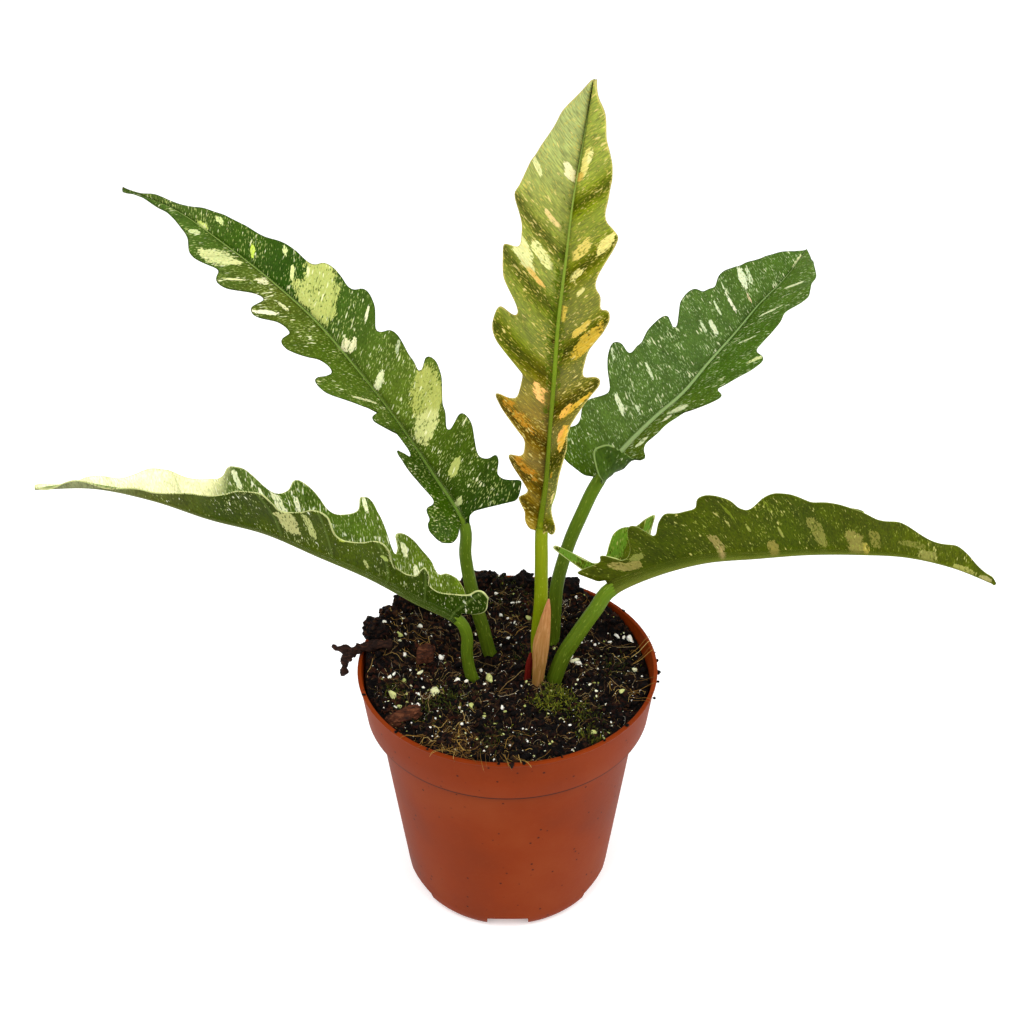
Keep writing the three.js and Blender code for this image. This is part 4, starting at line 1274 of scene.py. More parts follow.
@dataclass
class Leaf:
    """One leaf: its lobed blade with the midrib, and its stalk.

    end is how the stalk ends in the midrib: shares of the overlap and of the radius.
    """

    plan: LeafPlan
    look: LeafSkin
    stalk_slot: str
    seed: int
    stalk_sides: int = 28
    stalk_step: float = 2.5
    stalk_dents: float = 0.025
    dent_long: float = 18.0
    overlap: float = 5.0
    end: Pairs = ((0.3, 0.93), (0.6, 0.8), (0.9, 0.5), (1.0, 0))
    foot_z: float = 97.0

    def __post_init__(self) -> None:
        """Draws the line that the leaf is built along."""
        self.spine = Spine(self.plan)

    def build(self, stalk_material: Material) -> None:
        """Builds and dresses the blade and the stalk.

        Args:
            stalk_material: finish of the stalk.
        """
        self.build_blade()
        self.build_stalk(stalk_material)

    def rib_radius(self, along: Array) -> Array:
        """Finds the radius of the midrib."""
        thinned = np.clip(along / self.spine.length, 0, 1) ** RIB_TAPER
        return self.plan.stalk[1] + (RIB_TIP - self.plan.stalk[1]) * thinned

    def stations(self, starts: list[Array]) -> Array:
        """Merges where the side veins of both halves start, dropping those that coincide.

        Args:
            starts: places on the midrib for each half.

        Returns:
            Places of the blade's columns.
        """
        kept = [0.0]
        for place in np.sort(np.concatenate(starts)):
            if place - kept[-1] > (BASE_GAP if place < BASE_RUN else STATION_GAP):
                kept.append(place)
        kept[-1] = self.spine.length
        return np.array(kept)

    def half_rows(self, half: Half, stations: Array, margin: Array, starts: Array) -> dict[str, Array]:
        """Lays one half of the blade out as rows from the midrib to the margin.

        Args:
            half: which half.
            stations: where the columns start on the midrib.
            margin: points of the margin.
            starts: where the vein of each margin point starts.

        Returns:
            Arrays of columns by rows for each thing that the blade needs to know.
        """
        plan = self.plan.left if half is Half.LEFT else self.plan.right
        side = half.value
        begin = stations[:, None]
        edge = read_rows(stations, starts, margin)
        reach = np.linspace(0, 1, HALF_ROWS)[None, :] ** ROW_POWER
        radius = self.rib_radius(begin)
        rib_edge = RIB_SIDE * radius
        out = rib_edge + np.maximum(edge[:, 1:] - rib_edge, LEAST_WIDTH) * reach
        along = begin + (edge[:, :1] - begin) * reach**VEIN_BEND
        share = np.clip(along / self.spine.length, 0, 1)
        angle = np.radians(table(plan.fold, share) + table(plan.curl, share) * out / 10)
        height, pitch, phase = self.plan.wave
        ripple = height * reach**2 * np.sin(FULL_TURN * begin / pitch + phase + side)
        vein_gap = self.nearest(along, out, self.main_veins(margin, starts))
        swell = (1 - np.exp(-((vein_gap / QUILT_WIDE) ** 2))) * np.sqrt(np.sin(math.pi * reach))
        lift = RIB_SEAT * radius + out * np.sin(angle) + ripple + self.look.quilt * swell
        wide = side * out * np.cos(angle)
        before = np.minimum(along, 0)
        place, tangent, normal, right = self.spine.at(np.maximum(along, 0))
        place = place + tangent * before[..., None] + right * wide[..., None]
        lean = math.hypot(1, plan.slope)
        station = np.broadcast_to(begin, along.shape)
        grounds = [colours_at(self.look.grounds[face, half], share) for face in Face]
        return {
            "place": place + normal * lift[..., None],
            "up": normal * np.cos(angle)[..., None] - right * (side * np.sin(angle))[..., None],
            "station": station,
            "across": (along - plan.slope * out) / lean + HALF_SHIFT * side,
            "down": (plan.slope * along + out) / lean,
            "vein_gap": vein_gap,
            "edge_gap": self.nearest(along, out, margin),
            "reach": np.broadcast_to(reach, along.shape),
            "ground": np.stack(grounds, 2),
            "patch": np.stack([self.patch_rows(face, half, station, out) for face in Face], 2),
        }

    @staticmethod
    def main_veins(margin: Array, starts: Array) -> Array:
        """Draws the side vein to the tip of each lobe.

        Args:
            margin: margin of a half.
            starts: where the vein of each margin point starts.

        Returns:
            Points along and out on all the veins.
        """
        share = np.linspace(0, 1, VEIN_POINTS)
        out = margin[:, 1]
        drawn = []
        for i in range(LOBE_NEAR, len(out) - LOBE_NEAR):
            highest = out[i - LOBE_NEAR : i + LOBE_NEAR + 1].max()
            lowest = out[max(i - LOBE_FAR, 0) : i + LOBE_FAR + 1].min()
            if out[i] >= highest and out[i] > lowest + LOBE_RISE:
                bent = starts[i] + (margin[i, 0] - starts[i]) * share**VEIN_BEND
                drawn.append(np.stack([bent, out[i] * share], -1))
        return np.vstack(drawn)

    @staticmethod
    def nearest(along: Array, out: Array, line: Array) -> Array:
        """Measures how far each point of a half is from the nearest of a line's points.

        Args:
            along: how far along the midrib the points are.
            out: how far out they are.
            line: points of the line, along and out.

        Returns:
            A distance for each point.
        """
        gaps = np.full(along.shape, np.inf)
        for point in line:
            gaps = np.minimum(gaps, (along - point[0]) ** 2 + (out - point[1]) ** 2)
        return np.sqrt(gaps)

    def patch_rows(self, face: Face, half: Half, station: Array, out: Array) -> Array:
        """Finds the strongest patch at each point of a half, with its colour and its weight.

        Args:
            face: upper or under face.
            half: which half.
            station: where each point's side vein starts.
            out: how far out each point is.

        Returns:
            Colour and weight, columns by rows.
        """
        held = np.zeros((*out.shape, 4))
        for patch in self.look.patches.get((face, half), ()):
            weight = patch.weight(station, out)
            wins = weight > held[..., 3]
            held[wins, :3] = linear(patch.colour)[:3]
            held[wins, 3] = weight[wins]
        return held

    def rib_rows(self, stations: Array, face: Face) -> Array:
        """Lays out the midrib's surface between the two halves.

        Args:
            stations: places of the columns.
            face: the low ridge on the blade, or the keel under it.

        Returns:
            Places of columns by rows, from the right half to the left one.
        """
        place, _, normal, right = self.spine.at(stations)
        radius = self.rib_radius(stations)[:, None]
        across = np.linspace(1, -1, RIB_ROWS + 2)[None, 1:-1]
        if face is Face.UNDER:
            turned = across * (math.pi / 2 + math.atan2(RIB_SEAT, RIB_SIDE)) - math.pi / 2
            wide = radius * np.cos(turned)
            high = radius * np.sin(turned)
        else:
            crown = (RIB_TOP + (1 - RIB_TOP) * np.exp(-stations / BASE_RUN))[:, None] * radius
            seat = RIB_SEAT * radius + BLADE_HALF
            wide = across * RIB_SIDE * radius
            high = seat + (np.maximum(crown, seat) - seat) * (1 - across**2) ** RIB_ROUND
        return place[:, None] + right[:, None] * wide[..., None] + normal[:, None] * high[..., None]

    @staticmethod
    def join_halves(right: Array, left: Array) -> Array:
        """Joins rows of both halves, with an even run over the midrib between them.

        Args:
            right: columns by rows of the right half.
            left: those of the left half.

        Returns:
            Columns by rows of the whole blade.
        """
        share = np.linspace(0, 1, RIB_ROWS + 2)[1:-1].reshape(-1, *(right.ndim - 2) * [1])
        middle = right[:, :1] * (1 - share) + left[:, :1] * share
        return np.concatenate([right[:, ::-1], middle, left], axis=1)

    def build_blade(self) -> None:
        """Builds and dresses the blade as one closed skin."""
        margins = [
            plan.margin(self.spine.length, self.plan.stalk[1] + RIB_MARGIN)
            for plan in (self.plan.right, self.plan.left)
        ]
        starts = [self.plan.right.vein_starts(margins[0]), self.plan.left.vein_starts(margins[1])]
        stations = self.stations(starts)
        right, left = (
            self.half_rows(half, stations, margin, start)
            for half, margin, start in zip(Half, margins, starts)
        )
        sheet = {key: self.join_halves(right[key], left[key]) for key in right}
        thick = BLADE_HALF + (MARGIN_HALF - BLADE_HALF) * sheet["reach"] ** 3
        ridge = VEIN_HIGH * np.exp(-((sheet["vein_gap"] / VEIN_WIDE) ** 2))
        ridge = ridge * (1 - VEIN_FADE * sheet["reach"]) * (sheet["reach"] > 0)
        surfaces = np.stack(
            [
                sheet["place"] + sheet["up"] * (thick - VEIN_SUNK * ridge)[..., None],
                sheet["place"] - sheet["up"] * (thick + ridge)[..., None],
            ],
            2,
        )
        for face in Face:
            rib = self.rib_rows(stations, face)
            surfaces[:, HALF_ROWS : HALF_ROWS + RIB_ROWS, face.value] = rib
        size = len(stations) - 1, 2 * HALF_ROWS + RIB_ROWS - 1
        piece, _ = new_grid(f"blade_{self.plan.name}", *size)
        with editing(piece):
            bpy.ops.mesh.extrude_region_move(TRANSFORM_OT_translate={"value": (0, 0, 1)})
        column, row = grid_places(piece, *size).T
        under = (get_points(piece)[:, 2] < 0.5).astype(int)
        set_points(piece, surfaces[column, row, under] * MM)
        self.paint_blade(piece, sheet, column, row, under)
        settle(piece, self.look.material(), self.look.slot, f"leaf_{self.plan.name}")

    def paint_blade(
        self, piece: Object, sheet: dict[str, Array], column: Array, row: Array, under: Array
    ) -> None:
        """Gives each vertex of the blade what its material reads.

        Args:
            piece: the blade.
            sheet: what is known of it, columns by rows.
            column: each vertex's column.
            row: each vertex's row.
            under: for each vertex, one where it is on the under face and zero where it isn't.
        """
        at = {key: rows[column, row] for key, rows in sheet.items()}
        every = np.arange(len(row))
        flat = np.stack([at["across"], at["down"], self.seed + 0.5 * under], -1)
        paint(piece, "leaf_place", flat)
        paint(piece, "ground", np.column_stack([at["ground"][every, under], np.ones(len(row))]))
        paint(piece, "patch", at["patch"][every, under])
        paint(piece, "under", under)
        paint(piece, "edge_gap", at["edge_gap"])
        paint(piece, "vein_gap", at["vein_gap"])
        off_centre = np.abs(row - (2 * HALF_ROWS + RIB_ROWS - 1) / 2)
        on_rib = np.clip(self.look.rib_share * RIB_ROWS / 2 + 0.5 - off_centre, 0, 1)
        rib = colours_at(self.look.rib, np.clip(at["station"] / self.spine.length, 0, 1))
        rib[under == 1] = linear(self.look.under_rib)[:3]
        paint(piece, "rib", np.column_stack([rib, on_rib * np.choose(under, RIB_STRENGTH)]))

    def build_stalk(self, material: Material) -> None:
        """Builds and dresses the stalk, from the soil into the base of the midrib.

        Args:
            material: finish of the stalk.
        """
        start = self.spine.start
        foot = float(np.interp(self.foot_z, self.spine.points[:, 2], self.spine.along))
        main = np.linspace(foot - start, 0, math.ceil((start - foot) / self.stalk_step))
        inner, ends = np.array(self.end).T
        length = np.concatenate([main[:1], main, inner * self.overlap])
        place, _, normal, right = self.spine.at(length)
        thick, thin = self.plan.stalk
        radius = thick + (thin - thick) * np.clip((length + start) / start, 0, 1)
        radius[0] = 0
        radius[-len(ends) :] *= ends
        spots = np.stack([length, length * 0, length * 0], -1)
        radius *= 1 + self.stalk_dents * Roughness(self.seed).layered(spots, self.dent_long, 2)
        across = radius[:, None]
        name = f"petiole_{self.plan.name}"
        piece = new_tube(name, place, right * across, normal * across, self.stalk_sides)
        settle(piece, material, self.stalk_slot, f"stalk_{self.plan.name}")


# Pot


@dataclass
class Pot:
    """Nursery pot: a turned shell with a collar, cut by six notches and eight drain holes."""

    sides: int = 168
    foot_radius: float = 35.4
    notches: int = 6
    notch_wide: float = 17.0
    notch_slope: float = 42.0
    notch_long: float = 24.0
    notch_deep: float = 10.0
    notch_back: float = 4.0
    drains: int = 8
    drain_radius: float = 3.5
    drain_circle: float = 24.0
    floor_z: float = 3.4
    floor_thick: float = 1.6
    drain_sides: int = 32
    crease: float = 40
    profile: Pairs = (
        (0, 0), (11.6, 0), (12.0, 0.2), (12.6, 2.6), (34.8, 2.6), (35.3, 0.3), (35.6, 0), (38.4, 0),
        (39.2, 0.2), (41, 1.6), (42.2, 3.3), (42.9, 5.4), (43.3, 8), (46.4, 33.5), (49.6, 60), (52.7, 86),
        (52.9, 86.9), (53.3, 87.6), (54, 87.95), (56.8, 88), (57.1, 88.12), (57.25, 88.5), (58.4, 98),
        (59.45, 106.6), (59.85, 106.9), (60, 107.3), (59.95, 107.7), (59.7, 107.95), (59.4, 108),
        (58.7, 108), (58.45, 107.9), (58.35, 107.6), (57.0, 98.6), (55.6, 89.6), (51.2, 86.4), (46.4, 46),
        (41.7, 8), (38.2, 4.2), (0, 4.2),
    )

    def build(self, material: Material) -> None:
        """Builds and dresses the pot.

        Args:
            material: finish of the pot.
        """
        shell = self.turned_shell()
        cutter = self.cutters()
        cut = shell.modifiers.new("cut", "BOOLEAN")
        cut.operation = "DIFFERENCE"
        cut.solver = "EXACT"
        cut.object = cutter
        choose(shell)
        bpy.ops.object.modifier_apply(modifier=cut.name)
        remove_piece(cutter)
        settle(shell, material, "pot_plastic", "pot", crease=self.crease)

    def turned_shell(self) -> Object:
        """Turns the pot's profile about its axis.

        Returns:
            A closed shell in metres.
        """
        choose()
        bpy.ops.mesh.primitive_circle_add(vertices=len(self.profile), fill_type="NOTHING")
        shell = name_new("nursery_pot")
        set_points(shell, np.array([(r * MM, 0, z * MM) for r, z in self.profile]))
        last = len(self.profile) - 1
        for edge in shell.data.edges:
            edge.select = set(edge.vertices) == {0, last}
        for vertex in shell.data.vertices:
            vertex.select = vertex.index in (0, last)
        with editing(shell, everything=False):
            bpy.ops.mesh.delete(type="EDGE")
            bpy.ops.mesh.select_all(action="SELECT")
            bpy.ops.mesh.spin(steps=self.sides, angle=FULL_TURN, center=(0, 0, 0), axis=(0, 0, 1))
            bpy.ops.mesh.select_all(action="SELECT")
            bpy.ops.mesh.remove_doubles(threshold=POT_WELD)
            bpy.ops.mesh.normals_make_consistent(inside=False)
        return shell

    def cutters(self) -> Object:
        """Makes the blocks and pins that cut the notches and the drain holes.

        Returns:
            One object that holds them all, in metres.
        """
        made = []
        size = Matrix.Diagonal((self.notch_long, self.notch_wide, self.notch_deep, 1))
        ahead = Matrix.Translation((self.notch_long / 2 - self.notch_back, 0, -self.notch_deep / 2))
        tilt = Matrix.Rotation(-math.radians(self.notch_slope), 4, "Y")
        out = Matrix.Translation((self.foot_radius, 0, 0))
        for k in range(self.notches):
            bpy.ops.mesh.primitive_cube_add(size=1)
            made.append(bpy.context.object)
            turn = Matrix.Rotation(-math.pi / 2 + FULL_TURN * k / self.notches, 4, "Z")
            made[-1].data.transform(Matrix.Scale(MM, 4) @ turn @ out @ tilt @ ahead @ size)
        out = Matrix.Translation((self.drain_circle, 0, self.floor_z))
        for k in range(self.drains):
            bpy.ops.mesh.primitive_cylinder_add(
                vertices=self.drain_sides, radius=self.drain_radius, depth=4 * self.floor_thick
            )
            made.append(bpy.context.object)
            turn = Matrix.Rotation(FULL_TURN * (k + 0.5) / self.drains, 4, "Z")
            made[-1].data.transform(Matrix.Scale(MM, 4) @ turn @ out)
        return join(made)


# Root ball and what lies on it


@dataclass
class RootBall:
    """Peat that fills the pot, heaped at the back and the left, with clods along its edge.

    A heap has its middle, its height and its spread. Ripples are given by their height and
    their lengths, and dents by their depth and size.
    """

    level: float = 103.5
    cells: int = 250
    radius: float = 56.9
    least: float = 101.3
    heaps: tuple[tuple[float, float, float, float], ...] = (
        (-48, 18, 14, 17), (-30, 42, 8, 14), (-8, 54, 8, 13), (18, 50, 7, 14), (36, 36, 5, 13),
        (48, 10, -4, 15),
    )
    clods: tuple[tuple[Point, float], ...] = (
        ((-54, 13, 115), 5.2), ((-49, 21, 116), 4.5), ((-42, 28, 117), 5), ((-34, 37, 114), 6),
        ((-13, 51, 111.5), 5), ((7, 52, 110.5), 5), ((26, 46, 110), 5.5),
    )
    wall: Pairs = ((57.0, 100.6), (55.25, 89.6), (50.85, 86.6), (41.3, 8.2), (37.8, 4.7))
    ripples: tuple[Point, ...] = ((0.9, 4.1, 3.7), (0.6, 2.3, 2.3))
    clod_size: float = 0.94
    clod_flat: float = 0.8
    clod_dents: float = 0.26
    clod_shift: float = 40.0
    dents: Pairs = ((0.9, 7.0), (1.05, 2.0))
    noise: Roughness = field(default_factory=lambda: Roughness(21))

    def height(self, x: Array, y: Array) -> Array:
        """Finds the height of the soil.

        Args:
            x: places to the right.
            y: places to the back.

        Returns:
            Heights.
        """
        (high, right, back), (low, both, _) = self.ripples
        total = self.level + high * np.sin(x / right + 1) * np.cos(y / back)
        total = total + low * np.sin((x + y) / both)
        for hx, hy, high, spread in self.heaps:
            total = total + high * np.exp(-((x - hx) ** 2 + (y - hy) ** 2) / spread**2)
        spots = np.stack([x, y, np.zeros_like(x)], -1).reshape(-1, 3)
        rough = sum(deep * self.noise.layered(spots, size) for deep, size in self.dents)
        return np.maximum(total + rough.reshape(x.shape), self.least)

    def build(self, material: Material) -> None:
        """Builds and dresses the root ball with its clods.

        Args:
            material: finish of the peat.
        """
        piece, places = new_grid("root_ball", self.cells, self.cells)
        right, back = (2 * places / self.cells - 1).T
        x = self.radius * right * np.sqrt(1 - back**2 / 2)
        y = self.radius * back * np.sqrt(1 - right**2 / 2)
        set_points(piece, np.stack([x, y, self.height(x, y)], -1) * MM)
        for vertex, row in zip(piece.data.vertices, places):
            vertex.select = bool(np.any(row == 0) or np.any(row == self.cells))
        for edge in piece.data.edges:
            ends = places[list(edge.vertices)]
            edge.select = any(np.all(ends[:, k] == v) for k in (0, 1) for v in (0, self.cells))
        for polygon in piece.data.polygons:
            polygon.select = False
        for radius, z in self.wall:
            with editing(piece, everything=False):
                bpy.ops.mesh.extrude_edges_move()
            chosen = np.array([v.select for v in piece.data.vertices])
            points = get_points(piece)
            points[chosen, :2] = unit(points[chosen, :2]) * radius * MM
            points[chosen, 2] = z * MM
            set_points(piece, points)
        with editing(piece, everything=False):
            bpy.ops.mesh.edge_face_add()
        face_outwards(piece)
        lumps = [self.clod(k, centre, half) for k, (centre, half) in enumerate(self.clods)]
        settle(join([piece, *lumps]), material, "peat", "soil")

    def clod(self, k: int, centre: Point, half: float) -> Object:
        """Makes one rough clod of the heap.

        Args:
            k: number of the clod.
            centre: its middle.
            half: its half size.

        Returns:
            The clod, in metres.
        """
        lump, ball = new_ball("clod", 5)
        spots = ball * half + self.clod_shift * k
        swell = self.clod_size + self.clod_dents * self.noise.layered(spots, half, 2)
        swell += self.clod_dents * self.noise.layered(spots, 2.0)
        size = (half, half, self.clod_flat * half)
        set_points(lump, (ball * swell[:, None] * size + centre) * MM)
        return lump


@dataclass
class Litter:
    """Loose things on the soil: crumbs, perlite, root fibres, moss and crumbs on the rim.

    A size is the least half size, the range above it and the power that favours small ones. A
    shape is the least and the most of each axis, as shares of the half size. A reach is the
    largest distance from the pot's axis.
    """

    ball: RootBall
    peat: Material
    crumbs: int = 2400
    crumb_size: Point = (0.4, 1.4, 2.6)
    crumb_shape: tuple[Point, Point] = ((0.7, 0.6, 0.5), (1.3, 1.0, 0.9))
    crumb_reach: float = 55.5
    crumb_raised: float = 0.25
    grains: int = 850
    grain_size: Point = (0.15, 0.55, 3)
    grain_shape: tuple[Point, Point] = ((0.85, 0.6, 0.6), (1.25, 1.0, 0.9))
    grain_reach: float = 54.5
    grain_raised: float = 0.4
    marked_raised: float = 0.45
    marked_size: float = 0.88
    rim_shape: tuple[Point, Point] = ((0.8, 0.6, 0.6), (1.3, 1.0, 0.9))
    hairs: int = 1700
    hair_reach: float = 53.0
    strands: int = 50
    strand_reach: float = 48.0
    straw_reach: float = 55.0
    moss_reach: float = 54.0
    reach: float = 56.0
    climb_from: float = 40.0
    crumb_dents: float = 0.45
    grain_dents: float = 0.5
    dent_size: float = 0.9
    lump_shift: float = 31.7
    lump_tilt: float = 0.35
    crumb_crease: float = 55
    grain_crease: float = 30
    seed: int = 31

    def __post_init__(self) -> None:
        """Starts the draws."""
        self.dice = np.random.default_rng(self.seed)
        self.noise = Roughness(self.seed)

    def spots(self, count: int, reach: float) -> Array:
        """Draws places on the soil.

        Args:
            count: number of places.
            reach: largest distance from the pot's axis.

        Returns:
            Places on the soil's surface.
        """
        far = reach * np.sqrt(self.dice.uniform(0, 1, count))
        turned = self.dice.uniform(0, FULL_TURN, count)
        places = around(far, turned, far * 0)
        places[:, 2] = self.ball.height(*places[:, :2].T)
        return places

    def halves(self, count: int, size: Point) -> Array:
        """Draws half sizes."""
        least, more, power = size
        return least + more * self.dice.uniform(0, 1, count) ** power

    def shapes(self, half: Array, shape: tuple[Point, Point]) -> Array:
        """Draws half sizes on three axes for each half size."""
        return half[:, None] * self.dice.uniform(*shape, (len(half), 3))

    def lumps(
        self, name: str, subdivisions: int, centres: Array, sizes: Array, tones: Array, dents: float
    ) -> Object:
        """Strews rough lumps.

        Args:
            name: name of the piece.
            subdivisions: fineness of each lump.
            centres: where they lie.
            sizes: half size of each lump on its three axes.
            tones: tint of each lump.
            dents: depth of the dents, as a share of the size.

        Returns:
            One mesh of them all.
        """
        template, shape = new_ball("lump", subdivisions)
        count = len(centres)
        spots = (shape[None] + self.lump_shift * np.arange(count)[:, None, None]).reshape(-1, 3)
        swell = 1 + dents * self.noise.layered(spots, self.dent_size, 2).reshape(count, -1)
        points = shape[None] * swell[..., None] * sizes[:, None]
        turned = self.dice.uniform(0, FULL_TURN, (2, count))
        points = self.turn(points, turned[0], 0, 1)
        points = self.turn(points, self.lump_tilt * np.sin(turned[1]), 0, 2)
        return join_copies(name, template, points + centres[:, None], tones)

    @staticmethod
    def turn(points: Array, angle: Array, first: int, second: int) -> Array:
        """Turns each copy's points by its own angle in the plane of two axes.

        Args:
            points: points of each copy.
            angle: an angle for each copy.
            first: axis that is turned towards the second.
            second: the other axis.

        Returns:
            The turned points.
        """
        cos = np.cos(angle)[:, None]
        sin = np.sin(angle)[:, None]
        turned = points.copy()
        turned[..., first] = points[..., first] * cos - points[..., second] * sin
        turned[..., second] = points[..., first] * sin + points[..., second] * cos
        return turned

    def build_crumbs(self) -> None:
        """Strews crumbs of peat over the soil and the heap."""
        centres = self.spots(self.crumbs, self.crumb_reach)
        half = self.halves(self.crumbs, self.crumb_size)
        sizes = self.shapes(half, self.crumb_shape)
        centres[:, 2] += self.crumb_raised * half
        piece = self.lumps("peat_crumbs", 2, centres, sizes, 0 * half, self.crumb_dents)
        settle(piece, self.peat, "peat", crease=self.crumb_crease)

    def build_perlite(self) -> None:
        """Strews perlite, with the larger grains where the photo has them."""
        x, y, half, tone = np.array(PERLITE_SPOTS).T
        half = self.marked_size * half
        centres = np.stack([x, y, self.ball.height(x, y) + self.marked_raised * half], -1)
        loose = self.spots(self.grains, self.grain_reach)
        small = self.halves(self.grains, self.grain_size)
        loose[:, 2] += self.grain_raised * small
        tints = self.dice.uniform(0, 1, self.grains) ** 2 * 0.95
        centres = np.vstack([centres, loose])
        half = np.concatenate([half, small])
        sizes = self.shapes(half, self.grain_shape)
        tints = np.concatenate([tone, tints])
        piece = self.lumps("perlite_grains", 2, centres, sizes, tints, self.grain_dents)
        settle(piece, PERLITE.material(), "perlite", crease=self.grain_crease)

    def hairs_along(self, name: str, lines: Array, radii: Array, tones: Array, sides: int) -> Object:
        """Bends hairs, which end in a point at both ends, along lines.

        Args:
            name: name of the piece.
            lines: points of each hair's line.
            radii: half thickness of each hair.
            tones: tint of each hair.
            sides: faces round each hair.

        Returns:
            One mesh of them all.
        """
        rings = lines.shape[1]
        share = np.linspace(0, 1, rings)
        thick = np.clip(4 * np.sqrt(share * (1 - share)), 0, 1) / MM
        blank = 0 * share
        centres = np.stack([blank, blank, share / MM], -1)
        level = np.stack([blank, thick, blank], -1)
        template = new_tube("hair", centres, level, np.stack([thick, blank, blank], -1), sides)
        shape = get_points(template)
        row = np.rint(shape[:, 2] * (rings - 1)).astype(int)
        way = unit(np.gradient(lines, axis=1) + TINY)
        level = unit(np.cross(way, (0.123, 0.2, 0.97)) + TINY)
        rise = np.cross(level, way)
        across, over = shape[None, :, :1], shape[None, :, 1:2]
        thick = radii[:, None, None]
        points = lines[:, row] + level[:, row] * across * thick + rise[:, row] * over * thick
        piece = join_copies(name, template, points, tones)
        face_outwards(piece)
        return piece

    def curls(self, starts: Array, long: Array, rings: int, bend: float) -> Array:
        """Draws curling lines that lie on the soil.

        Args:
            starts: where they start.
            long: their lengths.
            rings: points on each.
            bend: how far they turn, in radians.

        Returns:
            Points of each line.
        """
        count = len(starts)
        share = np.linspace(0, 1, rings)[None]
        heading = self.dice.uniform(0, FULL_TURN, count)[:, None]
        turn = self.dice.normal(0, bend, count)[:, None]
        wiggle = self.dice.normal(0, 0.5 * bend, count)[:, None]
        heading = heading + turn * share + wiggle * np.sin(FULL_TURN * share)
        step = (long / (rings - 1))[:, None]
        x = starts[:, :1] + np.cumsum(np.cos(heading) * step, axis=1)
        y = starts[:, 1:2] + np.cumsum(np.sin(heading) * step, axis=1)
        far = np.hypot(x, y)
        pull = np.where(far > self.reach, self.reach / far, 1)
        x = x * pull
        y = y * pull
        lift = self.dice.uniform(0.1, 1.0, count)[:, None] * (0.3 + long[:, None] / 9)
        z = self.ball.height(x, y) + lift * np.sin(math.pi * share) - 0.15
        return np.stack([x, y, z], -1)

    def build_fibres(self) -> None:
        """Lays root hairs and longer strands over the soil."""
        draw = self.dice.uniform
        count = self.hairs
        lines = self.curls(self.spots(count, self.hair_reach), draw(2, 8, count), 9, 0.9)
        hairs = self.hairs_along(
            "root_hairs", lines, draw(0.04, 0.1, count), draw(0, 1, count) ** 1.2, 3
        )
        count = self.strands
        lines = self.curls(self.spots(count, self.strand_reach), draw(10, 24, count), 18, 1.1)
        strands = self.hairs_along(
            "root_strands", lines, draw(0.07, 0.15, count), draw(0.2, 0.9, count), 5
        )
        material = FIBRE.material()
        for piece in (hairs, strands):
            settle(piece, material, "fibre")

    def feet(self, x: float, y: float, spread: float, count: int, reach: float) -> Array:
        """Draws places about a spot, none further from the pot's axis than the reach.

        Args:
            x: how far right the spot is.
            y: how far back it is.
            spread: how widely the places lie about it.
            count: number of places.
            reach: largest distance from the axis.

        Returns:
            Places at a height of zero.
        """
        flat = self.dice.normal(0, spread, (count, 2)) + (x, y)
        flat *= np.minimum(1, reach / np.linalg.norm(flat, axis=1))[:, None]
        return np.column_stack([flat, np.zeros(count)])

    def build_straw(self) -> None:
        """Lays golden straw on the soil, some of it up and over the rim."""
        lines = []
        share = np.linspace(0, 1, 12)
        for x, y, spread, count, over in STRAW_SPOTS:
            foot = self.feet(x, y, spread, count, self.straw_reach)
            lying = self.curls(foot, self.dice.uniform(4, 10, count), len(share), 0.9)
            climb = self.dice.uniform(0, 1, count) < over
            far = np.linalg.norm(foot, axis=1)
            run = self.dice.uniform(0.5, 0.85, count)[:, None] * share
            out, high = (
                np.interp(run, RIM_RUN[0], line) + self.dice.uniform(0, loose, count)[:, None]
                for line, loose in ((RIM_RUN[1], 0.5), (RIM_RUN[2], 0.9))
            )
            bend = self.dice.normal(0, 0.09, (count, 1)) * share
            rising = around(out, np.arctan2(foot[:, 1], foot[:, 0])[:, None] + bend, high)
            lines.append(np.where((climb & (far > self.climb_from))[:, None, None], rising, lying))
        lines = np.vstack(lines)
        piece = self.hairs_along(
            "golden_straw", lines, self.dice.uniform(0.05, 0.12, len(lines)),
            self.dice.uniform(0, 1, len(lines)), 4,
        )
        settle(piece, STRAW.material(), "fibre")

    def build_rim_crumbs(self) -> None:
        """Leaves crumbs of peat on the rim and on the outside of the collar."""
        turned, out, high, half = np.array(RIM_CRUMBS, float).T
        centres = around(out, np.radians(turned), high)
        sizes = self.shapes(half, self.rim_shape)
        piece = self.lumps("rim_crumbs", 3, centres, sizes, 0 * half, self.crumb_dents)
        settle(piece, self.peat, "peat", crease=self.crumb_crease)

    def build_moss(self) -> None:
        """Plants small tufts of moss."""
        lines = []
        tones = []
        for x, y, spread, count, tone in MOSS_SPOTS:
            foot = self.feet(x, y, spread, count, self.moss_reach)
            foot[:, 2] = self.ball.height(*foot[:, :2].T)
            lean = self.dice.normal(0, 0.6, (count, 3)) + (0, 0, 0.9)
            long = self.dice.uniform(1.0, 2.6, count)
            share = np.linspace(0, 1, 5)[None, :, None]
            droop = self.dice.normal(0, 0.35, (count, 1, 3)) * share**2
            lines.append(foot[:, None] + (unit(lean)[:, None] * share + droop) * long[:, None, None])
            tones.append(np.clip(self.dice.normal(tone, 0.22, count), 0, 1))
        lines = np.vstack(lines)
        piece = self.hairs_along(
            "moss_tufts", lines, self.dice.uniform(0.13, 0.26, len(lines)),
            np.concatenate(tones), 3,
        )
        settle(piece, MOSS.material(), "moss")


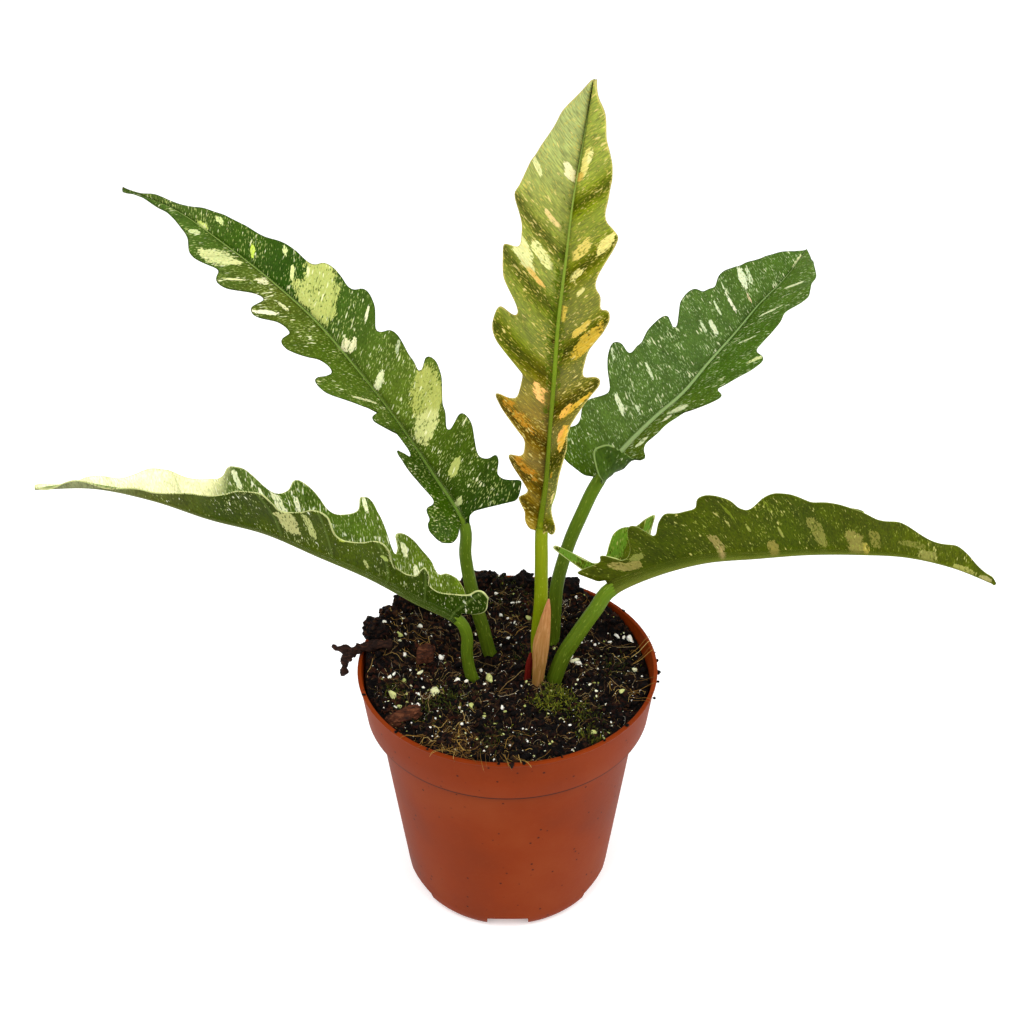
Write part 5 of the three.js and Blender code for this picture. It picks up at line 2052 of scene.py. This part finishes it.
# Large perlite grains: right, back, half size and tint
PERLITE_SPOTS = (
    (27.0, 6.5, 2.0, 0.5), (29.0, 4.2, 1.6, 0.15), (25.5, 9.0, 1.3, 0.1), (30.5, 9.5, 1.0, 0.6),
    (50.5, 21.5, 1.9, 0.05), (45.5, 23.9, 1.3, 0.05), (48.2, 22.6, 1.0, 0.2), (22.5, 6.2, 0.7, 0),
    (36.0, 19.2, 0.8, 0), (46.0, -2.6, 0.9, 0.2), (51.5, 3.0, 1.1, 0.55), (45, -14, 1.2, 0.75),
    (-35.9, 17.8, 1.2, 0.1), (-43.9, 10.3, 1.6, 0.85), (-50, 14, 1.1, 0.1), (-41.5, 3.0, 1.1, 0.1),
    (-26.9, 3.8, 1.5, 0.05), (-33.5, 2.5, 1.2, 0.8), (-35, -3.5, 1.3, 0.55), (-24.6, 1.5, 1.2, 0.85),
    (-15.6, -2.0, 1.2, 0.2), (-10.7, 0.4, 1.0, 0.0), (0.1, 19.1, 0.9, 0.0), (-7.4, -7.0, 1.9, 0.75),
    (-20, -7, 1.4, 0.2), (-41.2, -6.7, 1.5, 0.85), (-47, -6, 1.1, 0.1), (-45, -16, 1.7, 0.7),
    (-42.5, -20, 1.3, 0.75), (-28.5, -14, 2.1, 0.6), (-34.9, -15.6, 0.8, 0), (-35.1, -19.9, 1.2, 0),
    (-14, -21, 1.3, 0.8), (-2, -26, 1.1, 0.05), (-9, -31, 0.8, 0.3), (20.5, -31, 1.2, 0.65),
    (33, -37, 1.6, 0.8), (37.5, -40, 1.2, 0.8), (28, -35.5, 1.0, 0.7), (44, -22, 0.9, 0.4),
    (9, 33, 1.6, 0.75), (3, 30, 1.0, 0.05), (-5, 44, 1.1, 0.1),
)

# Moss tufts: right, back, spread, number of leaflets and tint
MOSS_SPOTS = (
    (18.5, -17, 3.2, 420, 0.72), (14.5, -20.5, 2.4, 170, 0.62), (25, -23, 4, 170, 0.5),
    (30, -29, 4, 140, 0.4), (30.5, -38, 2, 60, 0.45), (34, -42, 2, 60, 0.4), (-22, -16, 4.5, 230, 0.3),
    (-29, -21, 3.5, 120, 0.3), (-44, -12, 4, 110, 0.3), (7, 6, 4, 90, 0.2), (44, 6, 5, 100, 0.25),
    (-3, -42, 6, 120, 0.25), (-34, -28, 4, 60, 0.2), (12, 42, 6, 120, 0.25), (0, 48, 6, 120, 0.2),
)

# Straw: right, back, spread, number of stems and the share that climbs over the rim
STRAW_SPOTS = (
    (-22, -41, 4, 80, 0.08), (-12, -45, 5, 40, 0.15), (2, -50, 4, 24, 0.5), (-33, -36, 5, 20, 0.1),
    (26, -38, 7, 24, 0.12), (52, -12, 6, 20, 0.3), (48, 8, 6, 14, 0.2), (-20, 10, 14, 50, 0.0),
    (-44, 18, 8, 60, 0.0), (20, 38, 12, 40, 0.0),
)
# From the soil up over the rim: share of the run, distance from the axis and height
RIM_RUN = (
    (0, 0.25, 0.5, 0.62, 0.7, 1), (50, 54, 57.8, 59.8, 60.6, 60.2), (104.5, 105.6, 108, 108.5, 107.6, 101),
)

# Crumbs on the rim: angle from the right in degrees, distance from the axis, height, half size
RIM_CRUMBS = (
    (-88.5, 59.8, 107.8, 1.2), (-84, 59.4, 108.2, 0.7), (-93, 59.5, 108.3, 0.5), (-3, 60.5, 105.5, 1.2),
    (2, 60.4, 107.2, 0.8), (-10, 60.3, 106.6, 0.6), (-17, 60.2, 104.2, 0.5), (8, 60.3, 106.2, 0.5),
    (-40, 59.4, 108.4, 0.9), (-52, 59.2, 108.3, 0.5), (-120, 59.4, 108.3, 0.6), (-135, 59.3, 108.3, 0.8),
    (-70, 59.4, 108.3, 0.4), (150, 59.3, 108.3, 0.9), (170, 59.2, 108.4, 1.1), (120, 59.4, 108.2, 0.7),
    (60, 59.3, 108.2, 0.8), (95, 59.3, 108.3, 0.6), (35, 59.3, 108.2, 0.7), (-160, 59.4, 108.3, 0.7),
)


# Sheaths, bark and the scrap over the rim


@dataclass
class Sheath:
    """Pointed sheath that stands in front of the stalks, an oval tube that closes to a tip."""

    name: str
    node: str
    slot: str
    look: PlantSkin
    rings: tuple[tuple[Point, float, float], ...]
    sides: int = 32
    fine: int = 14
    seed: int = 5
    least: float = 0.15
    dents: float = 0.16
    dent_size: float = 1.4

    def build(self) -> None:
        """Builds and dresses the sheath."""
        centres = np.array([ring[0] for ring in self.rings], float)
        halves = np.array([ring[1:] for ring in self.rings], float)
        line = smooth_curve(centres, self.fine)
        wide = smooth_curve(np.column_stack([halves, halves[:, 0] * 0]), self.fine)[:, :2]
        way = unit(np.gradient(line, axis=0))
        side = unit(np.cross(way, (0.0, -1.0, 0.0)))
        front = np.cross(side, way)
        wide = np.maximum(wide, self.least)
        wide[0] = wide[-1] = 0
        piece = new_tube(self.name, line, side * wide[:, :1], -front * wide[:, 1:], self.sides)
        points = get_points(piece)
        flat = points / MM * (1, 1, 0.16)
        push = self.dents * Roughness(self.seed).layered(flat, self.dent_size, 2)
        away = points[:, :2] / MM - read_rows(points[:, 2], line[:, 2] * MM, line[:, :2])
        away /= np.maximum(np.linalg.norm(away, axis=1, keepdims=True), 0.3)
        points[:, :2] += away * push[:, None] * MM
        set_points(piece, points)
        face_outwards(piece)
        settle(piece, self.look.material(), self.slot, self.node)


@dataclass
class BarkChip:
    """Flat chip of bark that lies in the soil."""

    name: str
    node: str
    centre: Point
    half: Point
    turned: float
    seed: int
    layer: float = 0.8
    layer_cells: Point = (5.0, 2.5, 1.0)
    layer_step: float = 0.06
    squareness: float = 0.85
    edge_dents: float = 0.3
    edge_size: float = 3.2
    face_dents: float = 0.25
    face_size: float = 2.0

    def build(self, material: Material) -> None:
        """Builds and dresses the chip.

        Args:
            material: finish of bark.
        """
        piece, ball = new_ball(self.name, 5)
        noise = Roughness(self.seed)
        blocky = np.sign(ball) * np.abs(ball) ** self.squareness
        flat = ball * self.half
        # The edge steps in and out from layer to layer
        layers = flat[:, 2] / self.layer + noise.single(flat / self.layer_cells) * self.layer
        steps = self.layer_step * np.sin(np.round(layers) * self.layer * 5)
        edge = 1 + self.edge_dents * noise.layered(flat + 9, self.edge_size, 4) + steps
        shaped = blocky * self.half * edge[:, None] * (0.95, 0.95, 1)
        shaped[:, 2] += self.face_dents * noise.layered(shaped * (0.6, 1, 1), self.face_size)
        turn = np.array(Matrix.Rotation(math.radians(self.turned), 3, "Z"))
        set_points(piece, (shaped @ turn.T + self.centre) * MM)
        settle(piece, material, "bark", self.node)


@dataclass
class RimScrap:
    """Forked scrap of bark and root that hangs over the left of the rim."""

    arms: tuple[tuple[Point, ...], ...] = (
        ((-46, 6, 113.5), (-54, 5, 112.5), (-61, 4, 111.4), (-67, 5, 110.6), (-71, 7, 110.8)),
        ((-59, 4, 111.7), (-63.5, 2.5, 109.5), (-65.5, 1.5, 105.5), (-66, 1, 100.5)),
    )
    radii: Pairs = ((2.4, 1.2), (2.2, 1.7))
    sides: int = 24
    fine: int = 14
    seed: int = 77
    waves: float = 0.12
    thinned: float = 0.85
    dents: float = 0.55
    dent_size: float = 2.4

    def build(self, bark: Material) -> None:
        """Builds and dresses both arms as one piece.

        Args:
            bark: finish of the scrap.
        """
        noise = Roughness(self.seed)
        made = []
        for k, (points, radii) in enumerate(zip(self.arms, self.radii)):
            line = smooth_curve(np.array(points, float), self.fine)
            way = unit(np.gradient(line, axis=0))
            level = unit(np.cross(way, (0.0, 1.0, 0.2)))
            rise = np.cross(level, way)
            radius = np.linspace(*radii, len(line))
            radius *= 1 + self.waves * np.sin(5 * np.linspace(0, 6, len(line)) + k)
            radius[0] = radius[-1] = 0
            across = radius[:, None]
            arm = new_tube("hanging_scrap", line, level * across, -rise * across, self.sides)
            spots = get_points(arm) / MM
            centre = line[np.argmin(np.linalg.norm(spots[:, None] - line[None], axis=2), axis=1)]
            away = spots - centre
            swell = self.thinned + self.dents * noise.layered(spots, self.dent_size, 4)
            set_points(arm, (centre + away * swell[:, None]) * MM)
            made.append(arm)
        piece = join(made)
        face_outwards(piece)
        settle(piece, bark, "bark", "rim_scrap")


# Studio


@dataclass
class Studio:
    """Plain white floor, soft light and the camera that took the photo."""

    floor_half: float = 4.0
    sky: float = 0.75
    key_watts: float = 15.0
    fill_watts: float = 13.0
    lens: float = 52.73
    camera_at: Point = (0.0018, -0.4697, 0.4878)
    camera_tilt: float = 56.76
    sensor: float = 36.0
    middle: float = 0.16

    def build(self) -> None:
        """Builds the floor, the light and the camera."""
        choose()
        bpy.ops.mesh.primitive_plane_add(size=2 * self.floor_half)
        floor = name_new("studio_floor")
        floor.data.materials.append(StudioFloor().material())
        self.light("key", (-0.7, -0.75, 1.5), 1.0, self.key_watts)
        self.light("fill", (0.9, -0.5, 1.1), 1.2, self.fill_watts)
        world = bpy.data.worlds.new("studio")
        world.use_nodes = True
        world.node_tree.nodes.clear()
        add = partial(add_node, world.node_tree)
        add(Kind.SKY, add(Kind.GLOW, "ffffff", self.sky))
        bpy.context.scene.world = world
        bpy.ops.object.camera_add(
            location=self.camera_at, rotation=(math.radians(self.camera_tilt), 0, 0)
        )
        camera = bpy.context.object
        camera.data.lens = self.lens
        camera.data.sensor_width = self.sensor
        bpy.context.scene.camera = camera
        bpy.context.scene.view_settings.view_transform = "Standard"

    def light(self, name: str, place: Point, size: float, watts: float) -> None:
        """Adds a soft square light that faces the middle of the plant.

        Args:
            name: name of the light.
            place: where it hangs, in metres.
            size: its side, in metres.
            watts: its power.
        """
        bpy.ops.object.light_add(type="AREA", location=place)
        lamp = bpy.context.object
        lamp.name = name
        lamp.data.size = size
        lamp.data.energy = watts
        x, y, z = place
        tilt = math.atan2(math.hypot(x, y), z - self.middle)
        lamp.rotation_euler = (tilt, 0, math.atan2(x, -y))


# Looks of the five leaves

UPPER_RIGHT = (Face.UPPER, Half.RIGHT)
UPPER_LEFT = (Face.UPPER, Half.LEFT)
UNDER_RIGHT = (Face.UNDER, Half.RIGHT)
UNDER_LEFT = (Face.UNDER, Half.LEFT)
STOP_GAP = 0.15


def even_stops(colours: str) -> Stops:
    """Sets colours, parted by spaces, at even steps along a blade."""
    return tuple((round(STOP_GAP * k, 2), colour) for k, colour in enumerate(colours.split()))


def patches(*rows: tuple[float | str, ...]) -> tuple[Patch, ...]:
    """Makes patches of rows of their values."""
    return tuple(Patch(*row) for row in rows)


LOOKS = {
    "upper_left": LeafSkin(
        name="variegated_leaf_upper_left", slot="dark_leaf",
        grounds={
            UPPER_RIGHT: even_stops("1f3702 3f540b 55691c 405817 264307 334d0a 41541b"),
            UPPER_LEFT: even_stops("365202 2a4202 4d6318 43580e 4e5a18 415917 415a1c"),
            UNDER_RIGHT: ((0, "5f7430"), (1, "64783a")),
            UNDER_LEFT: ((0, "5f7430"), (1, "64783a")),
        },
        rib=((0, "6b8a30"), (0.5, "7f9a44"), (1, "8fa556")),
        under_rib="7c8f44", fleck="b4c06e", pale="e6e8b4", edge="2c4212", under_edge="2c4212",
        vein="3f5c1c", flecks=0.6, under_flecks=0.68, rib_share=0.35, mottle=0.3,
        patches={
            UPPER_RIGHT: patches(
                (97, 10.6, 7.2, 9.6, "adb560"), (40, 14.9, 7.6, 8.1, "a8ae56"),
                (101, 4.5, 7.5, 3.4, "b0b764"), (37, 10.5, 5.4, 7.6, "c4c87c"),
                (17, 8.8, 2, 3.8, "a9b25e"), (8, 2.8, 1.2, 1.8, "b3bb7c"), (81, 2.5, 1.5, 2.3, "e2dfae"),
                (78, 4.5, 1.2, 2.9, "e2dfae"), (62, 4.3, 1.7, 3, "dfe3b0"), (151, 0.7, 2.5, 1.1, "b9c963"),
                (144, 6.4, 1.9, 1.1, "c3cf86"), (76, 15.9, 0.6, 2.8, "e6e4ba"),
                (59, 17.5, 0.7, 2.1, "a9b58a"), (128, 4.5, 1, 2, "b9cf4c"), (110, 7.5, 0.9, 2, "cfd88c"),
                (103, 11.8, 0.9, 1.9, "dfe3a0"), (114, 11.8, 1.1, 1.5, "c9d38c"),
            ),
            UPPER_LEFT: patches(
                (133, 8.1, 4.9, 5, "c3c886"), (130, 5.8, 1.7, 3, "cdd08c"), (149, 4.5, 1.4, 1.6, "bfc98c"),
                (118, 3.7, 1.9, 1.9, "dcd9a8"), (101, 15.7, 1.1, 4.5, "e8e6c0"),
                (119, 12.8, 0.5, 4.2, "d6d69c"), (55, 14.1, 0.8, 6.5, "dad9a4"),
                (104, 6.8, 2.3, 0.9, "d2d29c"),
            ),
        },
    ),
    "lower_left": LeafSkin(
        name="variegated_leaf_lower_left", slot="olive_leaf",
        grounds={
            UPPER_RIGHT: (
                (0, "51660a"), (0.15, "5a6f18"), (0.3, "4a6215"), (0.45, "3f5610"), (0.59, "4c6022"),
                (0.62, "c2c388"), (0.65, "eeecb2"), (1, "f2f2be"),
            ),
            UPPER_LEFT: ((0, "5d7530"), (1, "5d7530")),
            UNDER_RIGHT: ((0, "5a6a22"), (1, "b9b98a")),
            UNDER_LEFT: even_stops("253a03 304002 3b4902 364202 303e02 4c521a 6d724e"),
        },
        rib=((0, "6b8a30"), (0.5, "8fa356"), (1, "e6e6b0")),
        under_rib="66762c", fleck="b8c07c", pale="eceecb", edge="c9cf8a", under_edge="c9cf8a",
        vein="7c9444", flecks=0.58, under_flecks=0.66, rib_share=0.5, mottle=0.3,
        patches={
            UPPER_RIGHT: patches(
                (74, 11.4, 2, 3.5, "d3d8a8"), (67, 13.9, 0.8, 2.7, "d9dcb4"), (37, 22.5, 1, 2.8, "e4e8b8"),
                (19, 8.6, 1.2, 2.2, "e8eabc"), (23, 14.2, 1.1, 2.1, "e6e8b4"),
                (87, 16.2, 1.1, 3.4, "d6dcae"), (80, 12.1, 0.7, 1.9, "dfe2bc"),
            ),
            UNDER_LEFT: patches(
                (71, 10.2, 3.6, 5, "a3a468"), (71.5, 10, 1.6, 3.4, "bfbf8c"),
                (62, 12.9, 1.8, 5.7, "a4aa66"), (48, 12.4, 1.3, 1.2, "9aa83e"),
                (41, 4.5, 1, 2.1, "a2a866"), (32, 13.6, 1.2, 1.4, "95a452"),
            ),
        },
    ),
    "middle": LeafSkin(
        name="young_leaf_middle", slot="young_leaf",
        grounds={
            UPPER_RIGHT: even_stops("6c6b02 4a5102 5b5202 545702 626602 6e7a06 798424"),
            UPPER_LEFT: even_stops("846a06 6e5404 705804 606a05 6b751f 7b832f 909a58"),
            UNDER_RIGHT: ((0, "7c8430"), (1, "8f9a50")),
            UNDER_LEFT: ((0, "7c8430"), (1, "8f9a50")),
        },
        rib=((0, "6c8a12"), (0.45, "86a428"), (1, "9cb458")),
        under_rib="9aa640", fleck="c2b050", pale="d6c474", edge="bdb062", under_edge="bdb062",
        vein="4c5410", flecks=0.595, under_flecks=0.7, rib_share=0.95, mottle=0.46, groove_shade=0.75, quilt=1.8,
        ridge_light=0.15, grain=4,
        patches={
            UPPER_RIGHT: patches(
                (78, 2, 48, 2.4, "526208", 0.57), (140, 2.9, 4.9, 1.5, "d8cc72"),
                (141, 3.6, 2.5, 1.7, "e4dc8e"), (136, 1.4, 1.7, 1.6, "c9a94c"),
                (108, 6.5, 2.8, 3, "d4c060"), (103, 15.8, 2.5, 3.1, "e2d67c"),
                (100, 5.2, 1.7, 2.5, "d6cc7c"), (88, 2.5, 3.4, 1, "d6b84c"), (70, 13.4, 4, 5.5, "c4a233"),
                (77, 10.1, 1.4, 3.7, "ccb04a"), (92, 8.3, 1.2, 1.5, "d8d080"),
                (47, 8.4, 1.9, 3.2, "e6b04a"), (46, 12.8, 1.5, 4.5, "c9a030"),
                (35, 9.9, 5.3, 2.1, "d8a83c"), (38, 8.6, 2.5, 1.7, "f0ae50"),
                (24, 3.9, 1.5, 0.9, "b88a20"), (12, 6.8, 2.6, 1, "cfc27c"),
                (71, 3.4, 4.3, 1.5, "6f7814", 0.5),
            ),
            UPPER_LEFT: patches(
                (136, 2.8, 2.4, 2.1, "e2dda8"), (125, 13.9, 1.7, 2.2, "d6d892"),
                (102, 8.7, 2.4, 3.9, "d6d68c"), (96, 15.4, 3.6, 4.8, "cfd08c"),
                (56, 5, 2.2, 0.8, "eebc6a"), (55, 5.2, 3.4, 2.2, "f0b86a"), (93, 9.6, 1.3, 3.2, "d9b25c"),
                (117, 5.9, 1.3, 2.7, "d9c07c"), (97, 3.2, 4.2, 1.4, "5f6c14", 0.5),
                (77, 1.2, 0.8, 0.9, "3c2008"), (84, 2, 52, 2.6, "52640e", 0.57),
                (20, 9, 4, 7, "a8741c", 0.6), (38, 12, 4, 9, "ac7a1e", 0.6),
            ),
        },
    ),
    "upper_right": LeafSkin(
        name="variegated_leaf_upper_right", slot="dark_leaf",
        grounds={
            UPPER_RIGHT: even_stops("344402 4b5e0e 4c6316 446214 3e5b12 445f19 47601e"),
            UPPER_LEFT: even_stops("3e560a 496022 465e23 455e24 465f24 41591d 415b1b"),
            UNDER_RIGHT: ((0, "3a5212"), (1, "4f6628")),
            UNDER_LEFT: ((0, "42591a"), (1, "4f6628")),
        },
        rib=((0, "a5bb7c"), (0.5, "9dba74"), (1, "86a658")),
        under_rib="6a8038", fleck="a9bc80", pale="d9dfae", edge="33481a", under_edge="92aa62",
        vein="48642a", flecks=0.6, under_flecks=0.68, rib_share=0.7, mottle=0.3,
        patches={
            UPPER_RIGHT: patches(
                (38, 7.5, 2, 3, "ccd3a2"), (32, 6.8, 2.9, 0.9, "d9dcb4"), (77, 10.7, 0.6, 3.1, "ccd3a2"),
                (110, 8.8, 1.2, 2.9, "ccd3a2"), (56, 24.8, 1, 3, "c9d08c"), (17, 6.8, 2.5, 1.1, "c9d2a0"),
                (94, 9.6, 0.6, 3.2, "ccd3a2"), (52, 14.4, 1.4, 1.1, "bcc88c"),
            ),
            UPPER_LEFT: patches(
                (102, 12.8, 1.3, 4.5, "c9d2aa"), (105, 11.1, 0.8, 3.8, "bcc89c"),
                (93, 9.2, 0.6, 4, "d8d6b8"), (93, 14.6, 0.5, 3, "c3cda2"), (80, 8.1, 1.2, 2.9, "c9d0a8"),
                (76, 11.6, 0.7, 2.5, "bcc89c"), (132, 0.2, 4.9, 0.9, "ccd098"),
                (86, 12.4, 0.6, 2.9, "bcc89c"), (42, 16.1, 0.7, 3.9, "c3cda2"),
                (24, 13.6, 1.3, 3.9, "ccd3aa"), (31, 7.2, 0.9, 2.2, "bcc89c"),
                (101, 4.5, 0.5, 2, "c9b58c"), (28, 30.1, 0.6, 2.4, "b9c59a"),
            ),
        },
    ),
    "lower_right": LeafSkin(
        name="variegated_leaf_lower_right", slot="olive_leaf",
        grounds={
            UPPER_RIGHT: ((0, "5b7320"), (1, "5b7020")),
            UPPER_LEFT: ((0.05, "4a5604"),),
            UNDER_RIGHT: even_stops("3c4402 354002 3d4702 394502 3b4402 404902 465002"),
            UNDER_LEFT: ((0, "6d7a2c"), (1, "66722a")),
        },
        rib=((0, "6b8a30"), (1, "7c9044")),
        under_rib="6c7426", fleck="8f963c", pale="b4b060", edge="d0d888", under_edge="5c6420",
        vein="525c14", flecks=0.6, under_flecks=0.645, rib_share=0.5, mottle=0.3,
        patches={
            UPPER_LEFT: patches(
                (5, 13.8, 2.2, 5.6, "5c821c"), (14, 17.1, 1.2, 3.8, "5f8426"), (3, 20.8, 1.1, 4, "648a28"),
            ),
            UNDER_RIGHT: patches(
                (44, 5.3, 1.7, 4.6, "81773f"), (44, 3.3, 0.8, 2.6, "978551"), (64, 3, 2.1, 2.6, "7a7332"),
                (83, 9.1, 2.4, 7.5, "70702f"), (96, 4.7, 3.1, 4.7, "787334"), (100, 2, 1.1, 2, "978b38"),
                (104, 6.3, 2.1, 4, "706e2b"), (12, 5.2, 3.4, 2.6, "7e773a"), (9, 6.3, 2.2, 3.1, "857c3f"),
                (17, 7.8, 2.3, 1.6, "707532"), (58, 13.4, 0.5, 2.5, "81853a"),
                (69, 9.2, 0.5, 2.5, "81853a"), (55, 20.8, 0.6, 4, "616e16"), (70, 21.7, 0.5, 3, "616e16"),
                (119, 5.2, 5.4, 1.2, "686a28"), (125, 1.9, 4, 2, "7c7c3a"), (141, 0.5, 5.1, 1, "8b8b43"),
                (152, 0.4, 3.1, 1.1, "959056"),
            ),
            UNDER_LEFT: patches(
                (2, 9.7, 1.1, 1.1, "7c8238"),
            ),
        },
    ),
}

DRY_RINGS = (
    ((10.4, -8.7, 94), 1.9, 1.2), ((11.6, -9.2, 103), 2.1, 1.4), ((12.5, -9.4, 113), 2.6, 1.5),
    ((13.1, -9.3, 124), 3.2, 1.4), ((14.5, -8.4, 134), 2.2, 1.1), ((15.5, -7.6, 141), 1.2, 0.7),
    ((15.9, -7.2, 145), 0.4, 0.4),
)
RED_RINGS = (
    ((7.6, -6.2, 94), 1.1, 1.0), ((8.0, -6.4, 104), 1.3, 1.0), ((8.6, -6.4, 112), 1.4, 0.9),
    ((9.2, -6.2, 118), 0.5, 0.5),
)
CHIPS = (
    ("front_chip", "bark_chip_1", (-40, -29, 104.6), (8, 4.5, 2.4), 25),
    ("left_chip", "bark_chip_2", (-33, 5, 108.5), (3.2, 6.5, 2.6), -12),
    ("back_chip", "bark_chip_3", (33, 34, 105.5), (7, 4, 2.4), 40),
)


def main() -> None:
    """Builds every piece in order."""
    logging.basicConfig(level=logging.INFO, format="%(name)s %(message)s")
    peat = Peat().material()
    bark = BARK.material()
    Pot().build(MouldedPlastic().material())
    ball = RootBall()
    ball.build(peat)
    litter = Litter(ball, peat)
    litter.build_crumbs()
    litter.build_perlite()
    litter.build_fibres()
    litter.build_straw()
    litter.build_moss()
    litter.build_rim_crumbs()
    green = ("green_stalk", GREEN_STALK.material())
    lime = ("lime_stalk", LIME_STALK.material())
    for k, plan in enumerate(LEAVES):
        slot, material = lime if plan.name == "middle" else green
        Leaf(plan, LOOKS[plan.name], slot, k + 1).build(material)
    Sheath("dry_bud_sheath", "dry_sheath", "dry_skin", DRY_SHEATH, DRY_RINGS).build()
    Sheath("red_bud_sheath", "red_sheath", "red_skin", RED_SHEATH, RED_RINGS, seed=6).build()
    for k, chip in enumerate(CHIPS):
        BarkChip(*chip, 50 + k).build(bark)
    RimScrap().build(SCRAP.material())
    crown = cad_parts["crown"]
    crown.data.materials.clear()
    crown.data.materials.append(STEM_BARK.material())
    Studio().build()
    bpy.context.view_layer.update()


if __name__ == "__main__":
    main()
